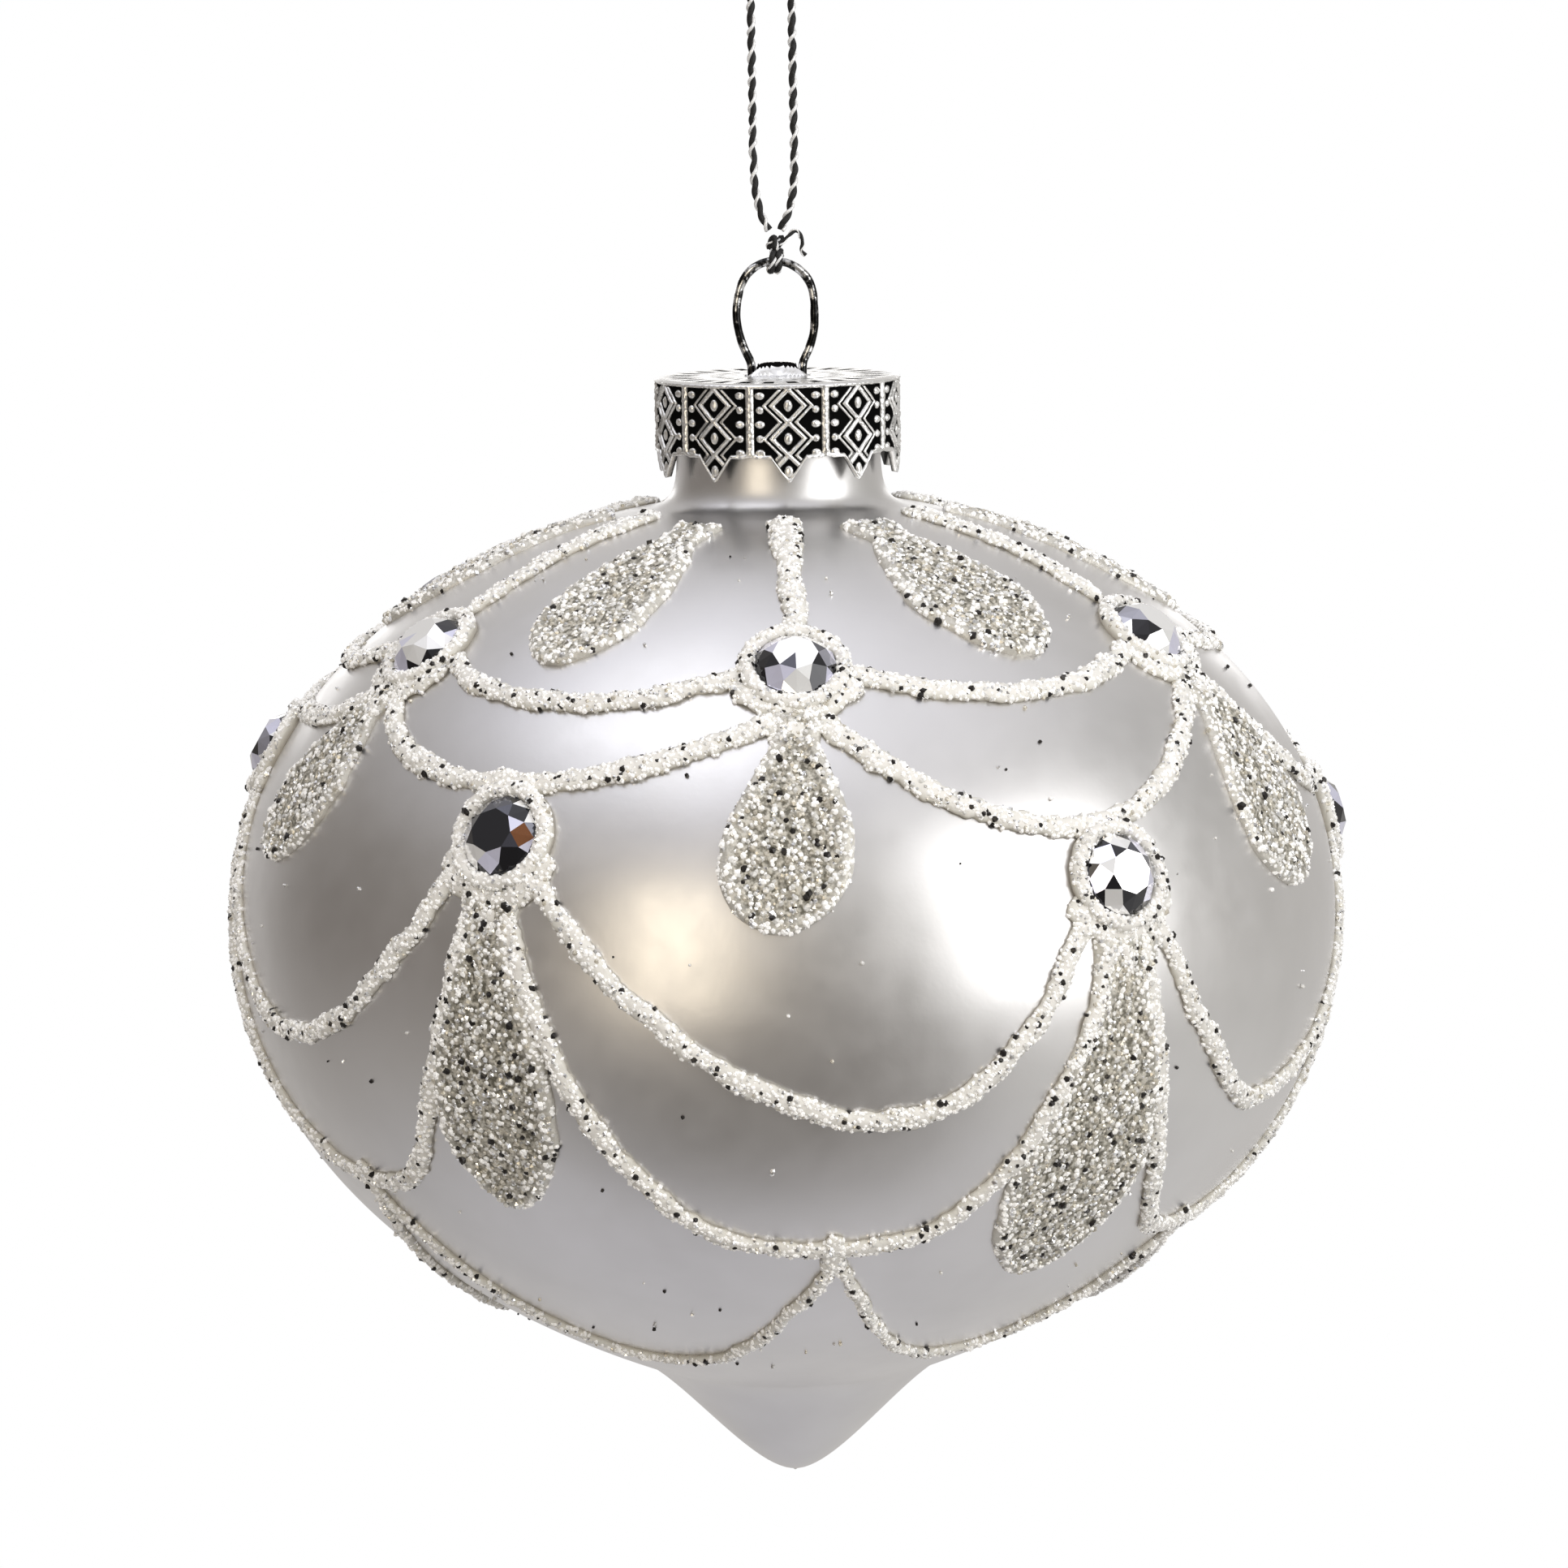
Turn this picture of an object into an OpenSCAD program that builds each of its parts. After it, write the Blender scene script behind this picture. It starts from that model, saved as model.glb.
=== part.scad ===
// Hanging glass ornament: an onion-shaped blown bauble with glitter garlands, glitter drops and set
// crystals, under a stamped metal crown cap with a wire ring on a thread loop.
// Millimetres. +Z is up and -Y is the front. The origin is where a hook carries the thread loop, so
// the whole ornament hangs below it.

/* [Glass body] */
// Widest diameter of the blown body
body_d = 80; // [70:1:95]
// Height of the body from its tip to the foot of the neck
body_h = 71.5; // [62:0.5:85]
// Wall thickness of the blown glass
glass_t = 0.8; // [0.6:0.1:1.2]
// Outside diameter of the neck below the cap
neck_d = 14.6; // [14.2:0.1:15.2]

/* [Crown cap] */
// Outside diameter of the cap's skirt
cap_d = 17.7; // [17.4:0.1:20]
// Thickness of the cap's sheet metal
cap_t = 0.35; // [0.25:0.05:0.45]
// Height of the skirt above the scallops
skirt_h = 5.0; // [4.5:0.1:6]
// How far each pointed scallop reaches below the skirt
scallop_h = 1.8; // [1:0.1:2.4]
// Number of panels round the cap, one scallop each
panels = 10; // [8:1:12]

/* [Wire ring] */
// Diameter of the wire
wire_d = 0.6; // [0.5:0.05:0.8]
// Radius of the ring's top bend, at the middle of the wire
ring_top_r = 2.7; // [2.6:0.05:3]
// Radius of the ring's flatter sides
ring_side_r = 7; // [6.5:0.25:8]
// Angle by which each sprung leg splays inside the neck
leg_splay = 22; // [18:1:23]

/* [Thread] */
// Diameter of the two-ply thread
thread_d = 0.65; // [0.5:0.05:0.7]
// Diameter of the ball of the knot on the ring
knot_d = 1.24; // [1.1:0.02:1.3]

/* [Decoration] */
// Diameter of each crystal over its girdle
stone_d = 5.4; // [4.6:0.1:6]
// Height of each crystal above the glass
stone_h = 1.7; // [1.2:0.1:2.2]
// Width of the glue ring round each crystal
bezel_w = 0.95; // [0.7:0.05:1.2]
// Width of a glitter line on the upper half
line_w = 1.75; // [1.4:0.05:2.2]
// Width of a glitter line on the lower half
low_line_w = 1.5; // [1.2:0.05:2]
// How far a glitter line stands above the glass
line_h = 0.85; // [0.5:0.05:1.1]
// Widest part of each leaf on the shoulder
leaf_w = 6.2; // [5:0.1:7]
// Widest part of each drop under an upper crystal
upper_drop_w = 8.4; // [7:0.1:9.5]
// Widest part of each drop under a middle crystal
lower_drop_w = 8; // [6.5:0.1:9]
// Slope of the lower decoration, which was drawn slightly askew
askew = 3.4; // [0:0.2:5]

/* [Hidden] */
six = [1:6];
function numbered(name) = [for (i = six) str(name, i)];
$fn = 72;

// Heights below are measured up from the body's tip, and hung() drops them under the origin.
cap_top = body_h + 9.3;
tip_drop = body_h + 38.5;
module hung() translate([0, 0, -tip_drop]) children();

// ---- Curves ----
function bezier(p, t) =
    pow(1 - t, 3) * p[0] + 3 * t * pow(1 - t, 2) * p[1] + 3 * t * t * (1 - t) * p[2] + pow(t, 3) * p[3];
function bezier_points(p, steps, from = 0) = [for (i = [from:steps]) bezier(p, i / steps)];
function unit(v) = v / norm(v);

// A smooth path of evenly numbered points through a short list of hand-set points
function spline_at(p, i, t) =
    let (n = len(p) - 1, a = p[max(i - 1, 0)], b = p[i], c = p[i + 1], d = p[min(i + 2, n)])
    0.5 * (2 * b + t * (c - a) + t * t * (2 * a - 5 * b + 4 * c - d) + t * t * t * (3 * b - a - 3 * c + d));
function smooth_path(p, steps) = concat(
    [for (i = [0:len(p) - 2]) for (k = [0:steps - 1]) spline_at(p, i, k / steps)], [p[len(p) - 1]]);

// ---- The body's outline, as [radius, height] from the tip to the rim ----
body_r = body_d / 2;
neck_r = neck_d / 2;
widest_h = 0.587 * body_h;
foot_r = neck_r + 2.1;
tip_curve = [
    [0, 0], [2.1, 0],
    [0.198 * body_r, 0.11 * body_h], [0.3 * body_r, 0.136 * body_h]
];
under_curve = [
    [0.3 * body_r, 0.136 * body_h], [0.535 * body_r, 0.193 * body_h],
    [body_r, 0.327 * body_h], [body_r, widest_h]
];
dome_curve = [
    [body_r, widest_h], [body_r, widest_h + 0.225 * body_h],
    [0.63 * body_r, 0.961 * body_h], [foot_r, body_h]
];
flare_curve = [
    [foot_r, body_h], [neck_r + 0.6, body_h + 0.25],
    [neck_r + 0.05, body_h + 1], [neck_r, body_h + 3.4]
];
lip_r = cap_d / 2 - cap_t - 0.3;
rim_h = cap_top - cap_t - 0.15;
body_outline = concat(
    bezier_points(tip_curve, 9), bezier_points(under_curve, 14, 1),
    bezier_points(dome_curve, 16, 1), bezier_points(flare_curve, 6, 1)
);
lip_outline = [[neck_r, rim_h - 2.4], [lip_r, rim_h - 1.6], [lip_r, rim_h - 0.3], [lip_r - 0.3, rim_h]];

// Distance along the outline, so that the decoration is laid out by length over the glass
function run_to(p, i, sum = 0, k = 1) = k > i ? sum : run_to(p, i, sum + norm(p[k] - p[k - 1]), k + 1);
runs = [for (i = [0:len(body_outline) - 1]) run_to(body_outline, i)];
radius_by_run = [for (i = [0:len(runs) - 1]) [runs[i], body_outline[i][0]]];
height_by_run = [for (i = [0:len(runs) - 1]) [runs[i], body_outline[i][1]]];
run_by_height = [for (i = [0:len(runs) - 1]) [body_outline[i][1], runs[i]]];
function run_at(height) = lookup(height, run_by_height);
function radius_at(run) = lookup(run, radius_by_run);
function height_at(run) = lookup(run, height_by_run);
function normal_at(run) =
    let (e = 0.6, dr = radius_at(run + e) - radius_at(run - e), dz = height_at(run + e) - height_at(run - e))
    unit([dz, -dr]);

// A point over the glass: azimuth from the front towards +X, run from the tip, and height above the glass
function glass_point(azimuth, run, lift = 0) =
    let (n = normal_at(run), r = radius_at(run) + lift * n[0])
    [r * sin(azimuth), -r * cos(azimuth), height_at(run) + lift * n[1]];
function glass_normal(azimuth, run) =
    let (n = normal_at(run)) [n[0] * sin(azimuth), -n[0] * cos(azimuth), n[1]];

// Stands its children on the glass, with their Z along the glass's normal and their Y up the body
module on_glass(azimuth, run) {
    n = normal_at(run);
    translate(glass_point(azimuth, run)) rotate([0, 0, azimuth]) rotate([atan2(n[0], n[1]), 0, 0]) children();
}

// ---- Swept solids ----
// A closed solid through rings of equal size, with a fan of triangles on each end
module sweep(rings) {
    n = len(rings[0]);
    last = len(rings) - 1;
    points = [for (ring = rings) for (p = ring) p];
    sides = [
        for (j = [0:last - 1]) for (k = [0:n - 1])
        let (a = j * n + k, b = j * n + (k + 1) % n)
        each [[a, b, a + n], [b, b + n, a + n]]
    ];
    ends = [for (k = [1:n - 2]) each [[0, k + 1, k], [last * n, last * n + k, last * n + k + 1]]];
    polyhedron(points, concat(sides, ends), convexity = 6);
}

// Rings of a bead of glitter glue laid along a path of [azimuth, run] on the glass
bead_sink = 0.3;
function bead_rings(path, width, height) = [
    for (i = [0:len(path) - 1])
    let (
        a = path[max(i - 1, 0)], b = path[min(i + 1, len(path) - 1)], p = path[i],
        n = glass_normal(p[0], p[1]),
        along = unit(glass_point(b[0], b[1]) - glass_point(a[0], a[1])),
        across = unit(cross(n, along)),
        middle = glass_point(p[0], p[1], (height - bead_sink) / 2)
    )
    [for (k = [0:5]) middle - across * cos(60 * k) * width / 2 + n * sin(60 * k) * (height + bead_sink) / 2]
];

// Rings of a flat drop that runs down a meridian: narrow at the top, round and fat at the bottom
drop_sink = 0.35;
drop_steps = 12;
drop_lifts = [[-1, 0.3], [-0.8, 0.8], [-0.3, 0.95], [0.3, 0.95], [0.8, 0.8], [1, 0.3]];
function drop_width(t, neck) = max(neck * (1 - t), pow(sin(180 * pow(t, 1.5)), 0.52));
function drop_rings(azimuth, top, bottom, width, height, neck) = [
    for (i = [0:drop_steps])
    let (
        t = 0.004 + 0.99 * i / drop_steps,
        run = top + (bottom - top) * t,
        half = drop_width(t, neck) * width / 2,
        turn = half / radius_at(run) * 180 / PI
    )
    concat(
        [for (q = drop_lifts) glass_point(azimuth + q[0] * turn, run, q[1] * height)],
        [for (u = [0.95, 0, -0.95]) glass_point(azimuth + u * turn, run, -drop_sink)]
    )
];

// ---- Layout of the decoration ----
// The lower decoration sinks towards +X, as the painter held the body slightly askew
function skewed(height, azimuth, slope) = height - radius_at(run_at(height)) * sin(azimuth) * tan(slope);
upper_stone_h = 0.891 * body_h;
middle_stone_h = 0.72 * body_h;
function front(i) = 60 * (i - 1);
function between(i) = 60 * (i - 1) + 30;
function middle_h(i) = skewed(middle_stone_h, between(i), askew);

// One hanging arc between two points, lowest in its middle: ends are [azimuth, height]
garland_steps = 14;
function garland_path(left, right, low, power) = [
    for (k = [0:garland_steps])
    let (
        u = 2 * k / garland_steps - 1,
        azimuth = left[0] + (right[0] - left[0]) * (u + 1) / 2,
        end_run = run_at(u < 0 ? left[1] : right[1])
    )
    [azimuth, run_at(low) + (end_run - run_at(low)) * pow(abs(u), power)]
];

// ---- Sub-parts ----
module glass_body() {
    outer = concat(body_outline, lip_outline);
    count = len(body_outline);
    inner = concat(
        [[0, glass_t * 2.2]],
        [for (i = [3:count - 1]) let (n = normal_at(runs[i])) body_outline[i] - glass_t * n],
        [[neck_r - glass_t, rim_h]]
    );
    color("silver") hung() rotate_extrude($fn = 96)
        polygon(concat(outer, [for (i = [len(inner) - 1:-1:0]) inner[i]]));
}

// The cap: a stamped cup with a notch between scallops, a rib over each notch and two slots on top
skirt_low = cap_top - skirt_h;
pitch = PI * cap_d / panels;
leg_x = 1.82;
slot_w = 0.95;
slot_l = 2;
module crown_cap() {
    cap_r = cap_d / 2;
    bump_r = 1.5;
    // The notch's sides slant from its shoulder to the scallops' blunt points, and on past them
    notch_x = pitch * 0.27;
    point_x = pitch / 2 - 0.2;
    past_x = point_x + (point_x - notch_x) * 0.5 / (scallop_h - 0.2);
    color("dimgray") hung() difference() {
        union() {
            translate([0, 0, skirt_low - scallop_h]) cylinder(h = skirt_h + scallop_h, r = cap_r);
            for (i = [1:panels]) rotate([0, 0, (i - 1) * 360 / panels + 24]) translate([0, -cap_r, skirt_low + 0.2])
                cylinder(h = skirt_h - 0.6, r = 0.3, $fn = 24);
            translate([0, 0, cap_top - 0.1]) cylinder(h = 0.6, r1 = bump_r * 0.8, r2 = bump_r * 0.4, $fn = 32);
        }
        translate([0, 0, skirt_low - scallop_h - 1])
            cylinder(h = skirt_h + scallop_h + 1 - cap_t, r = cap_r - cap_t);
        for (i = [1:panels]) rotate([0, 0, (i - 1) * 360 / panels + 24]) translate([0, -cap_r, skirt_low])
            rotate([90, 0, 0]) linear_extrude(height = 3, center = true) polygon([
                [-past_x, -scallop_h - 0.5], [past_x, -scallop_h - 0.5], [notch_x, -0.2], [0, 0], [-notch_x, -0.2]
            ]);
        for (side = [-1, 1]) translate([side * leg_x, 0, cap_top - 1]) {
            translate([-slot_w / 2, (slot_w - slot_l) / 2, 0]) cube([slot_w, slot_l - slot_w, 2]);
            for (y = [-1, 1]) translate([0, y * (slot_l - slot_w) / 2, 0]) cylinder(h = 2, d = slot_w, $fn = 32);
        }
    }
}

// The ring and its two legs are one wire in the XZ plane, drawn from tangent arcs: the right half runs
// from the leg's tip inside the neck, up through the cap's slot and round to the top of the ring
ring_top = cap_top + 8.4;
side_from = 12;
leg_l = 10.4;
function arc_points(centre, radius, from, to, steps) = [
    for (i = [0:steps]) let (a = from + (to - from) * i / steps) centre + radius * [cos(a), sin(a)]
];
top_centre = [0, ring_top - wire_d / 2 - ring_top_r];
side_centre = top_centre - (ring_side_r - ring_top_r) * [cos(side_from), sin(side_from)];
side_to = acos((leg_x + 0.18 - side_centre[0]) / ring_side_r);
foot_r_turn = 1.6;
foot_centre = side_centre + (ring_side_r + foot_r_turn) * [cos(side_to), -sin(side_to)];
leg_bend_r = 3;
leg_bend_centre = [foot_centre[0] - foot_r_turn + leg_bend_r, cap_top - 1.4];
leg_start = leg_bend_centre - leg_bend_r * [cos(leg_splay), sin(leg_splay)];
half_wire = concat(
    [leg_start + leg_l * [sin(leg_splay), -cos(leg_splay)], leg_start + 4 * [sin(leg_splay), -cos(leg_splay)]],
    arc_points(leg_bend_centre, leg_bend_r, 180 + leg_splay, 180, 3),
    arc_points(foot_centre, foot_r_turn, 180, 180 - side_to, 3),
    [for (p = arc_points(side_centre, ring_side_r, -side_to, side_from, 7)) if (p[1] > 0) p],
    arc_points(top_centre, ring_top_r, side_from + 11, 90, 7)
);
wire_path = concat(
    half_wire, [for (i = [len(half_wire) - 2:-1:0]) [-half_wire[i][0], half_wire[i][1]]]
);
module hanger_ring() color("gainsboro") hung()
    sweep(tube_rings([for (p = wire_path) [p[0], 0, p[1]]], wire_d, 12));

// The thread's route, below the origin: up from the knot, over the hook and down again
thread_rise = [
    [-0.42, 0, -18.88], [-0.9, 0, -17.9], [-1.25, 0, -16.6], [-1.42, 0, -15], [-1.46, 0.04, -12],
    [-1.45, -0.04, -9], [-1.44, 0.03, -6], [-1.45, 0, -3], [-1.45, 0, -1.12], [-1.26, 0, -0.4],
    [-0.75, 0, 0.12], [0, 0, 0.33]
];
thread_fall = [for (i = [len(thread_rise) - 2:-1:0]) [-thread_rise[i][0], -thread_rise[i][1], thread_rise[i][2]]];
thread_route = concat(thread_rise, thread_fall);
// Rings of a round tube along a path that stays near the XZ plane
function tube_rings(path, d, sides) = [
    for (i = [0:len(path) - 1])
    let (
        along = unit(path[min(i + 1, len(path) - 1)] - path[max(i - 1, 0)]),
        across = unit(cross([0, 1, 0], along)),
        up = cross(along, across)
    )
    [for (k = [0:sides - 1]) path[i] + d / 2 * (across * cos(360 * k / sides) + up * sin(360 * k / sides))]
];
module hanging_thread() color("gray") sweep(tube_rings(smooth_path(thread_route, 3), thread_d, 8));

// The knot: two turns round the ring's wire, a ball above them, and the thread's short loose end
wire_gap = 0.06;
module thread_knot() {
    wire_h = ring_top - wire_d / 2 - tip_drop;
    turn_r = wire_d / 2 + wire_gap + thread_d / 2;
    tail_d = thread_d * 0.6;
    tail = [[0.3, 1.1], [1.7, 1.9], [2.1, 0.5]];
    color("gray") translate([0, 0, wire_h]) union() {
        for (x = [-0.27, 0.27]) translate([x, 0, 0]) rotate([0, 90, 0])
            rotate_extrude() translate([turn_r, 0]) circle(d = thread_d, $fn = 32);
        translate([0, 0, turn_r + 0.5]) sphere(d = knot_d, $fn = 32);
        for (i = [0:1]) {
            reach = tail[i + 1] - tail[i];
            translate([tail[i][0], 0, tail[i][1]]) rotate([0, atan2(reach[0], reach[1]), 0])
                cylinder(h = norm(reach), d = tail_d, $fn = 24);
            translate([tail[i + 1][0], 0, tail[i + 1][1]]) sphere(d = tail_d, $fn = 24);
        }
    }
}

module bead(path, width) color("white") hung() sweep(bead_rings(path, width, line_h));

// Each spoke runs from the foot of the neck down to the bezel of an upper crystal
module spoke(i) {
    top = run_at(body_h - 0.1);
    low = run_at(upper_stone_h) + stone_d / 2 + bezel_w;
    bead([for (k = [0:6]) [front(i), top + (low - top) * k / 6]], line_w);
}

module drop(azimuth, top, bottom, width, neck)
    color("antiquewhite") hung() sweep(drop_rings(azimuth, top, bottom, width, line_h, neck));
module upper_leaf(i) drop(between(i), run_at(body_h - 0.2), run_at(0.898 * body_h), leaf_w, 0.42);
module upper_drop(i) drop(front(i), run_at(0.852 * body_h), run_at(0.662 * body_h), upper_drop_w, 0.34);
module lower_drop(i) {
    top = middle_h(i) - 3.6;
    low = skewed(0.352 * body_h, between(i), askew);
    drop(between(i), run_at(top), run_at(low), lower_drop_w, 0.3);
}

// A faceted crystal: an eight-sided girdle under a cut crown with a flat table
module stone(azimuth, height) color("lightsteelblue") hung() on_glass(azimuth, run_at(height)) {
    girdle_h = 0.35 * stone_h;
    translate([0, 0, -0.3]) cylinder(h = 0.3 + girdle_h, d = stone_d, $fn = 8);
    translate([0, 0, girdle_h]) cylinder(h = stone_h - girdle_h, d1 = stone_d, d2 = 0.56 * stone_d, $fn = 8);
}
// The ring of glitter glue that holds a crystal
module bezel(azimuth, height) color("white") hung() on_glass(azimuth, run_at(height))
    rotate_extrude($fn = 48) intersection() {
        translate([stone_d / 2 + bezel_w * 0.36, 0.12]) circle(r = bezel_w * 0.7, $fn = 32);
        translate([stone_d / 2 + 0.01, -2]) square(4);
    }
module upper_stone(i) stone(front(i), upper_stone_h);
module upper_bezel(i) bezel(front(i), upper_stone_h);
module middle_stone(i) stone(between(i), middle_h(i));
module middle_bezel(i) bezel(between(i), middle_h(i));

// The five rows of garlands, each of six arcs
module shoulder_garland() for (i = six) bead(
    garland_path([front(i) + 7, upper_stone_h - 0.4], [front(i) + 53, upper_stone_h - 0.4], 0.849 * body_h, 2.2), line_w);
module upper_garland() for (i = six) bead(
    garland_path([front(i) + 4, 0.845 * body_h], [front(i) + 56, 0.845 * body_h], middle_h(i) + 4.1, 1.5), line_w);
module middle_garland() for (i = six) bead(
    garland_path([front(i) - 25, middle_h(i == 1 ? 6 : i - 1) - 2.4], [front(i) + 25, middle_h(i) - 2.4],
        skewed(0.491 * body_h, front(i), askew), 2), line_w);
module lower_garland() for (i = six) bead(
    garland_path([front(i) - 28, middle_h(i == 1 ? 6 : i - 1) - 4], [front(i) + 28, middle_h(i) - 4],
        skewed(0.357 * body_h, front(i), askew), 2.4), low_line_w);
module base_garland() for (i = six) bead(
    garland_path([front(i) + 0.8, skewed(0.347 * body_h, front(i), askew)],
        [front(i) + 59.2, skewed(0.347 * body_h, front(i) + 60, askew)], 0.183 * body_h, 2.6), low_line_w);

glass_body();
crown_cap();
hanger_ring();
hanging_thread();
thread_knot();
shoulder_garland();
upper_garland();
middle_garland();
lower_garland();
base_garland();
for (i = six) {
    spoke(i);
    upper_leaf(i);
    upper_stone(i);
    upper_bezel(i);
    upper_drop(i);
    middle_stone(i);
    middle_bezel(i);
    lower_drop(i);
}
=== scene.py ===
"""Looks of a hanging glass ornament: satin pearl lacquer, sugar-glitter garlands and drops, foiled
crystals, an antiqued stamped cap, its wire ring and a two-ply metallic thread.

Shapes are worked out in millimetres, with heights measured up from the body's tip, and place()
turns them into the frame's metres. Azimuth is in degrees from the front (-Y) towards +X.
"""

import itertools
import math

import bpy
import numpy as np
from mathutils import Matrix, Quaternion, Vector

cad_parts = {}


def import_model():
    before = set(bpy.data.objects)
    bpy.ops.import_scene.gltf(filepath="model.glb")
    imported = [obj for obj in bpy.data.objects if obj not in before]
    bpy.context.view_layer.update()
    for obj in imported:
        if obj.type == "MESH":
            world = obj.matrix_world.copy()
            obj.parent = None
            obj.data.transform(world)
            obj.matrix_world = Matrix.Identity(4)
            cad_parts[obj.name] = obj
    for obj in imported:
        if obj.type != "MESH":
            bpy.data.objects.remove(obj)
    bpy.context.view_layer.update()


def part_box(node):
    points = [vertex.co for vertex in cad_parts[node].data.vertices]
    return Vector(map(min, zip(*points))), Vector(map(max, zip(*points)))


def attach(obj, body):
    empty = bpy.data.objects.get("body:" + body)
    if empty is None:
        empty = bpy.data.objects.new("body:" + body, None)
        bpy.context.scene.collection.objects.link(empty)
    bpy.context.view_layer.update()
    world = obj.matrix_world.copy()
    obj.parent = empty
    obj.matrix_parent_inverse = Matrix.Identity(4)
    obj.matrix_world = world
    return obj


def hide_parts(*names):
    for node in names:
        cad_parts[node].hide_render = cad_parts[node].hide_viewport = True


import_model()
scene = bpy.context.scene
scene.view_settings.view_transform = "Standard"
rng = np.random.default_rng(20)

# ---- Sizes from the frame, in millimetres ----
MM = 0.001
glass_low, glass_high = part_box("glass_body")
cap_low, cap_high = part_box("crown_cap")
GLASS_INSET = 0.4
CAP_INSET = 0.5
NECK_H = 8.8
TIP_Z = glass_low.z / MM
BODY_R = (glass_high.x - glass_low.x) / 2 / MM - GLASS_INSET
RIM_H = (glass_high.z - glass_low.z) / MM
BODY_H = RIM_H - NECK_H
CAP_T = 0.35
CAP_TOP = RIM_H + CAP_T + 0.15
CAP_R = (cap_high.x - cap_low.x) / 2 / MM - CAP_INSET
NECK_R = 7.3
GLASS_T = 0.8

STONE_R = 2.7
STONE_H = 1.7
BEZEL_W = 0.95
LINE_W = 1.5
MIDDLE_LINE_W = 1.42
LOW_LINE_W = 1.35
BASE_LINE_W = 0.9
LINE_H = 0.55
ASKEW = 4.7
WIRE_R = 0.3
THREAD_D = 0.65

# Heights of the decoration above the tip
UPPER_STONE_H = 0.886 * BODY_H
MIDDLE_STONE_H = 0.72 * BODY_H
SHOULDER_LOW_H = 0.857 * BODY_H
UPPER_END_H = 0.845 * BODY_H
MIDDLE_LOW_H = 0.491 * BODY_H
LOWER_LOW_H = 0.357 * BODY_H
BASE_END_H = 0.335 * BODY_H
BASE_LOW_H = 0.198 * BODY_H
LEAF_LOW_H = 0.885 * BODY_H
DROP_TOP_H = 0.852 * BODY_H
DROP_LOW_H = 0.352 * BODY_H


# ---- Camera ----
def make_camera():
    """A long lens level with the thread, turned and rolled by a degree or two."""
    distance = 340 * MM
    azimuth = math.radians(-1.75)
    eye_h = 105
    aim_h = 51.3
    eye = Vector((math.sin(azimuth) * distance, -math.cos(azimuth) * distance, (eye_h + TIP_Z) * MM))
    aim = Vector((0, 0, (aim_h + TIP_Z) * MM))
    data = bpy.data.cameras.new("camera")
    data.sensor_width = 36
    data.lens = 109.4
    data.clip_start = 0.01
    camera = bpy.data.objects.new("camera", data)
    camera.location = eye
    camera.rotation_mode = "QUATERNION"
    roll = Quaternion((0, 0, 1), math.radians(-0.95))
    camera.rotation_quaternion = (aim - eye).to_track_quat("-Z", "Y") @ roll
    scene.collection.objects.link(camera)
    scene.camera = camera


make_camera()


# ---- Meshes ----
def place(points):
    """Points in millimetres above the tip, as metres in the frame."""
    return (np.asarray(points, float) + [0, 0, TIP_Z]) * MM


def make_mesh(name, points, faces, materials, smooth=True, slots=None, values=None, reflection_tints=None):
    """A mesh object from triangles or quads, with a material index for each where slots are given.

    Values, one for each point, and reflection tints, one for each face and painted as reflections on a
    crystal's facets, are attributes that its materials read.
    """
    faces = np.asarray(faces)
    sides = faces.shape[1]
    mesh = bpy.data.meshes.new(name)
    mesh.vertices.add(len(points))
    mesh.vertices.foreach_set("co", place(points).astype(np.float32).ravel())
    mesh.loops.add(faces.size)
    mesh.loops.foreach_set("vertex_index", faces.astype(np.int32).ravel())
    mesh.polygons.add(len(faces))
    mesh.polygons.foreach_set("loop_start", np.arange(0, faces.size, sides, dtype=np.int32))
    mesh.polygons.foreach_set("use_smooth", np.full(len(faces), smooth))
    for material in materials:
        mesh.materials.append(material)
    if slots is not None:
        mesh.polygons.foreach_set("material_index", np.asarray(slots, np.int32))
    if values is not None:
        attribute = mesh.attributes.new("amount", "FLOAT", "POINT")
        attribute.data.foreach_set("value", np.asarray(values, np.float32))
    if reflection_tints is not None:
        # Painted reflection colours, one for each facet
        attribute = mesh.attributes.new("painted_facet_reflection", "FLOAT_COLOR", "CORNER")
        corners = np.repeat(np.c_[reflection_tints, np.ones(len(reflection_tints))], sides, axis=0)
        attribute.data.foreach_set("color", corners.astype(np.float32).ravel())
    mesh.update(calc_edges=True)
    mesh.validate()
    piece = bpy.data.objects.new(name, mesh)
    scene.collection.objects.link(piece)
    return piece


def finish_piece(piece, body, slot, *nodes):
    """Rides the piece on its body and stands for the CAD nodes, hiding them. The slot is not used."""
    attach(piece, body)
    if nodes:
        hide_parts(*nodes)
    return piece


def unit(vectors):
    """The same vectors, each of length one."""
    return vectors / np.linalg.norm(vectors, axis=1)[:, None]


def turns(count, start=0.0):
    """Angles evenly round a circle, in radians, from a start in degrees."""
    return np.radians(np.arange(count) * 360 / count + start)


def distances(points):
    """Distance along a path from its start to each of its points."""
    return np.r_[0, np.cumsum(np.linalg.norm(np.diff(points, axis=0), axis=1))]


def grid_triangles(rows, columns, round_rows=False):
    """Triangles over a grid of points, closed round its columns and, where asked, its rows."""
    last_row = rows if round_rows else rows - 1
    row, column = np.meshgrid(np.arange(last_row), np.arange(columns), indexing="ij")
    next_row = (row + 1) % rows
    next_column = (column + 1) % columns
    corners = [row * columns + column, row * columns + next_column,
               next_row * columns + next_column, next_row * columns + column]
    quads = np.stack(corners, -1).reshape(-1, 4)
    return np.vstack([quads[:, [0, 1, 2]], quads[:, [0, 2, 3]]])


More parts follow.
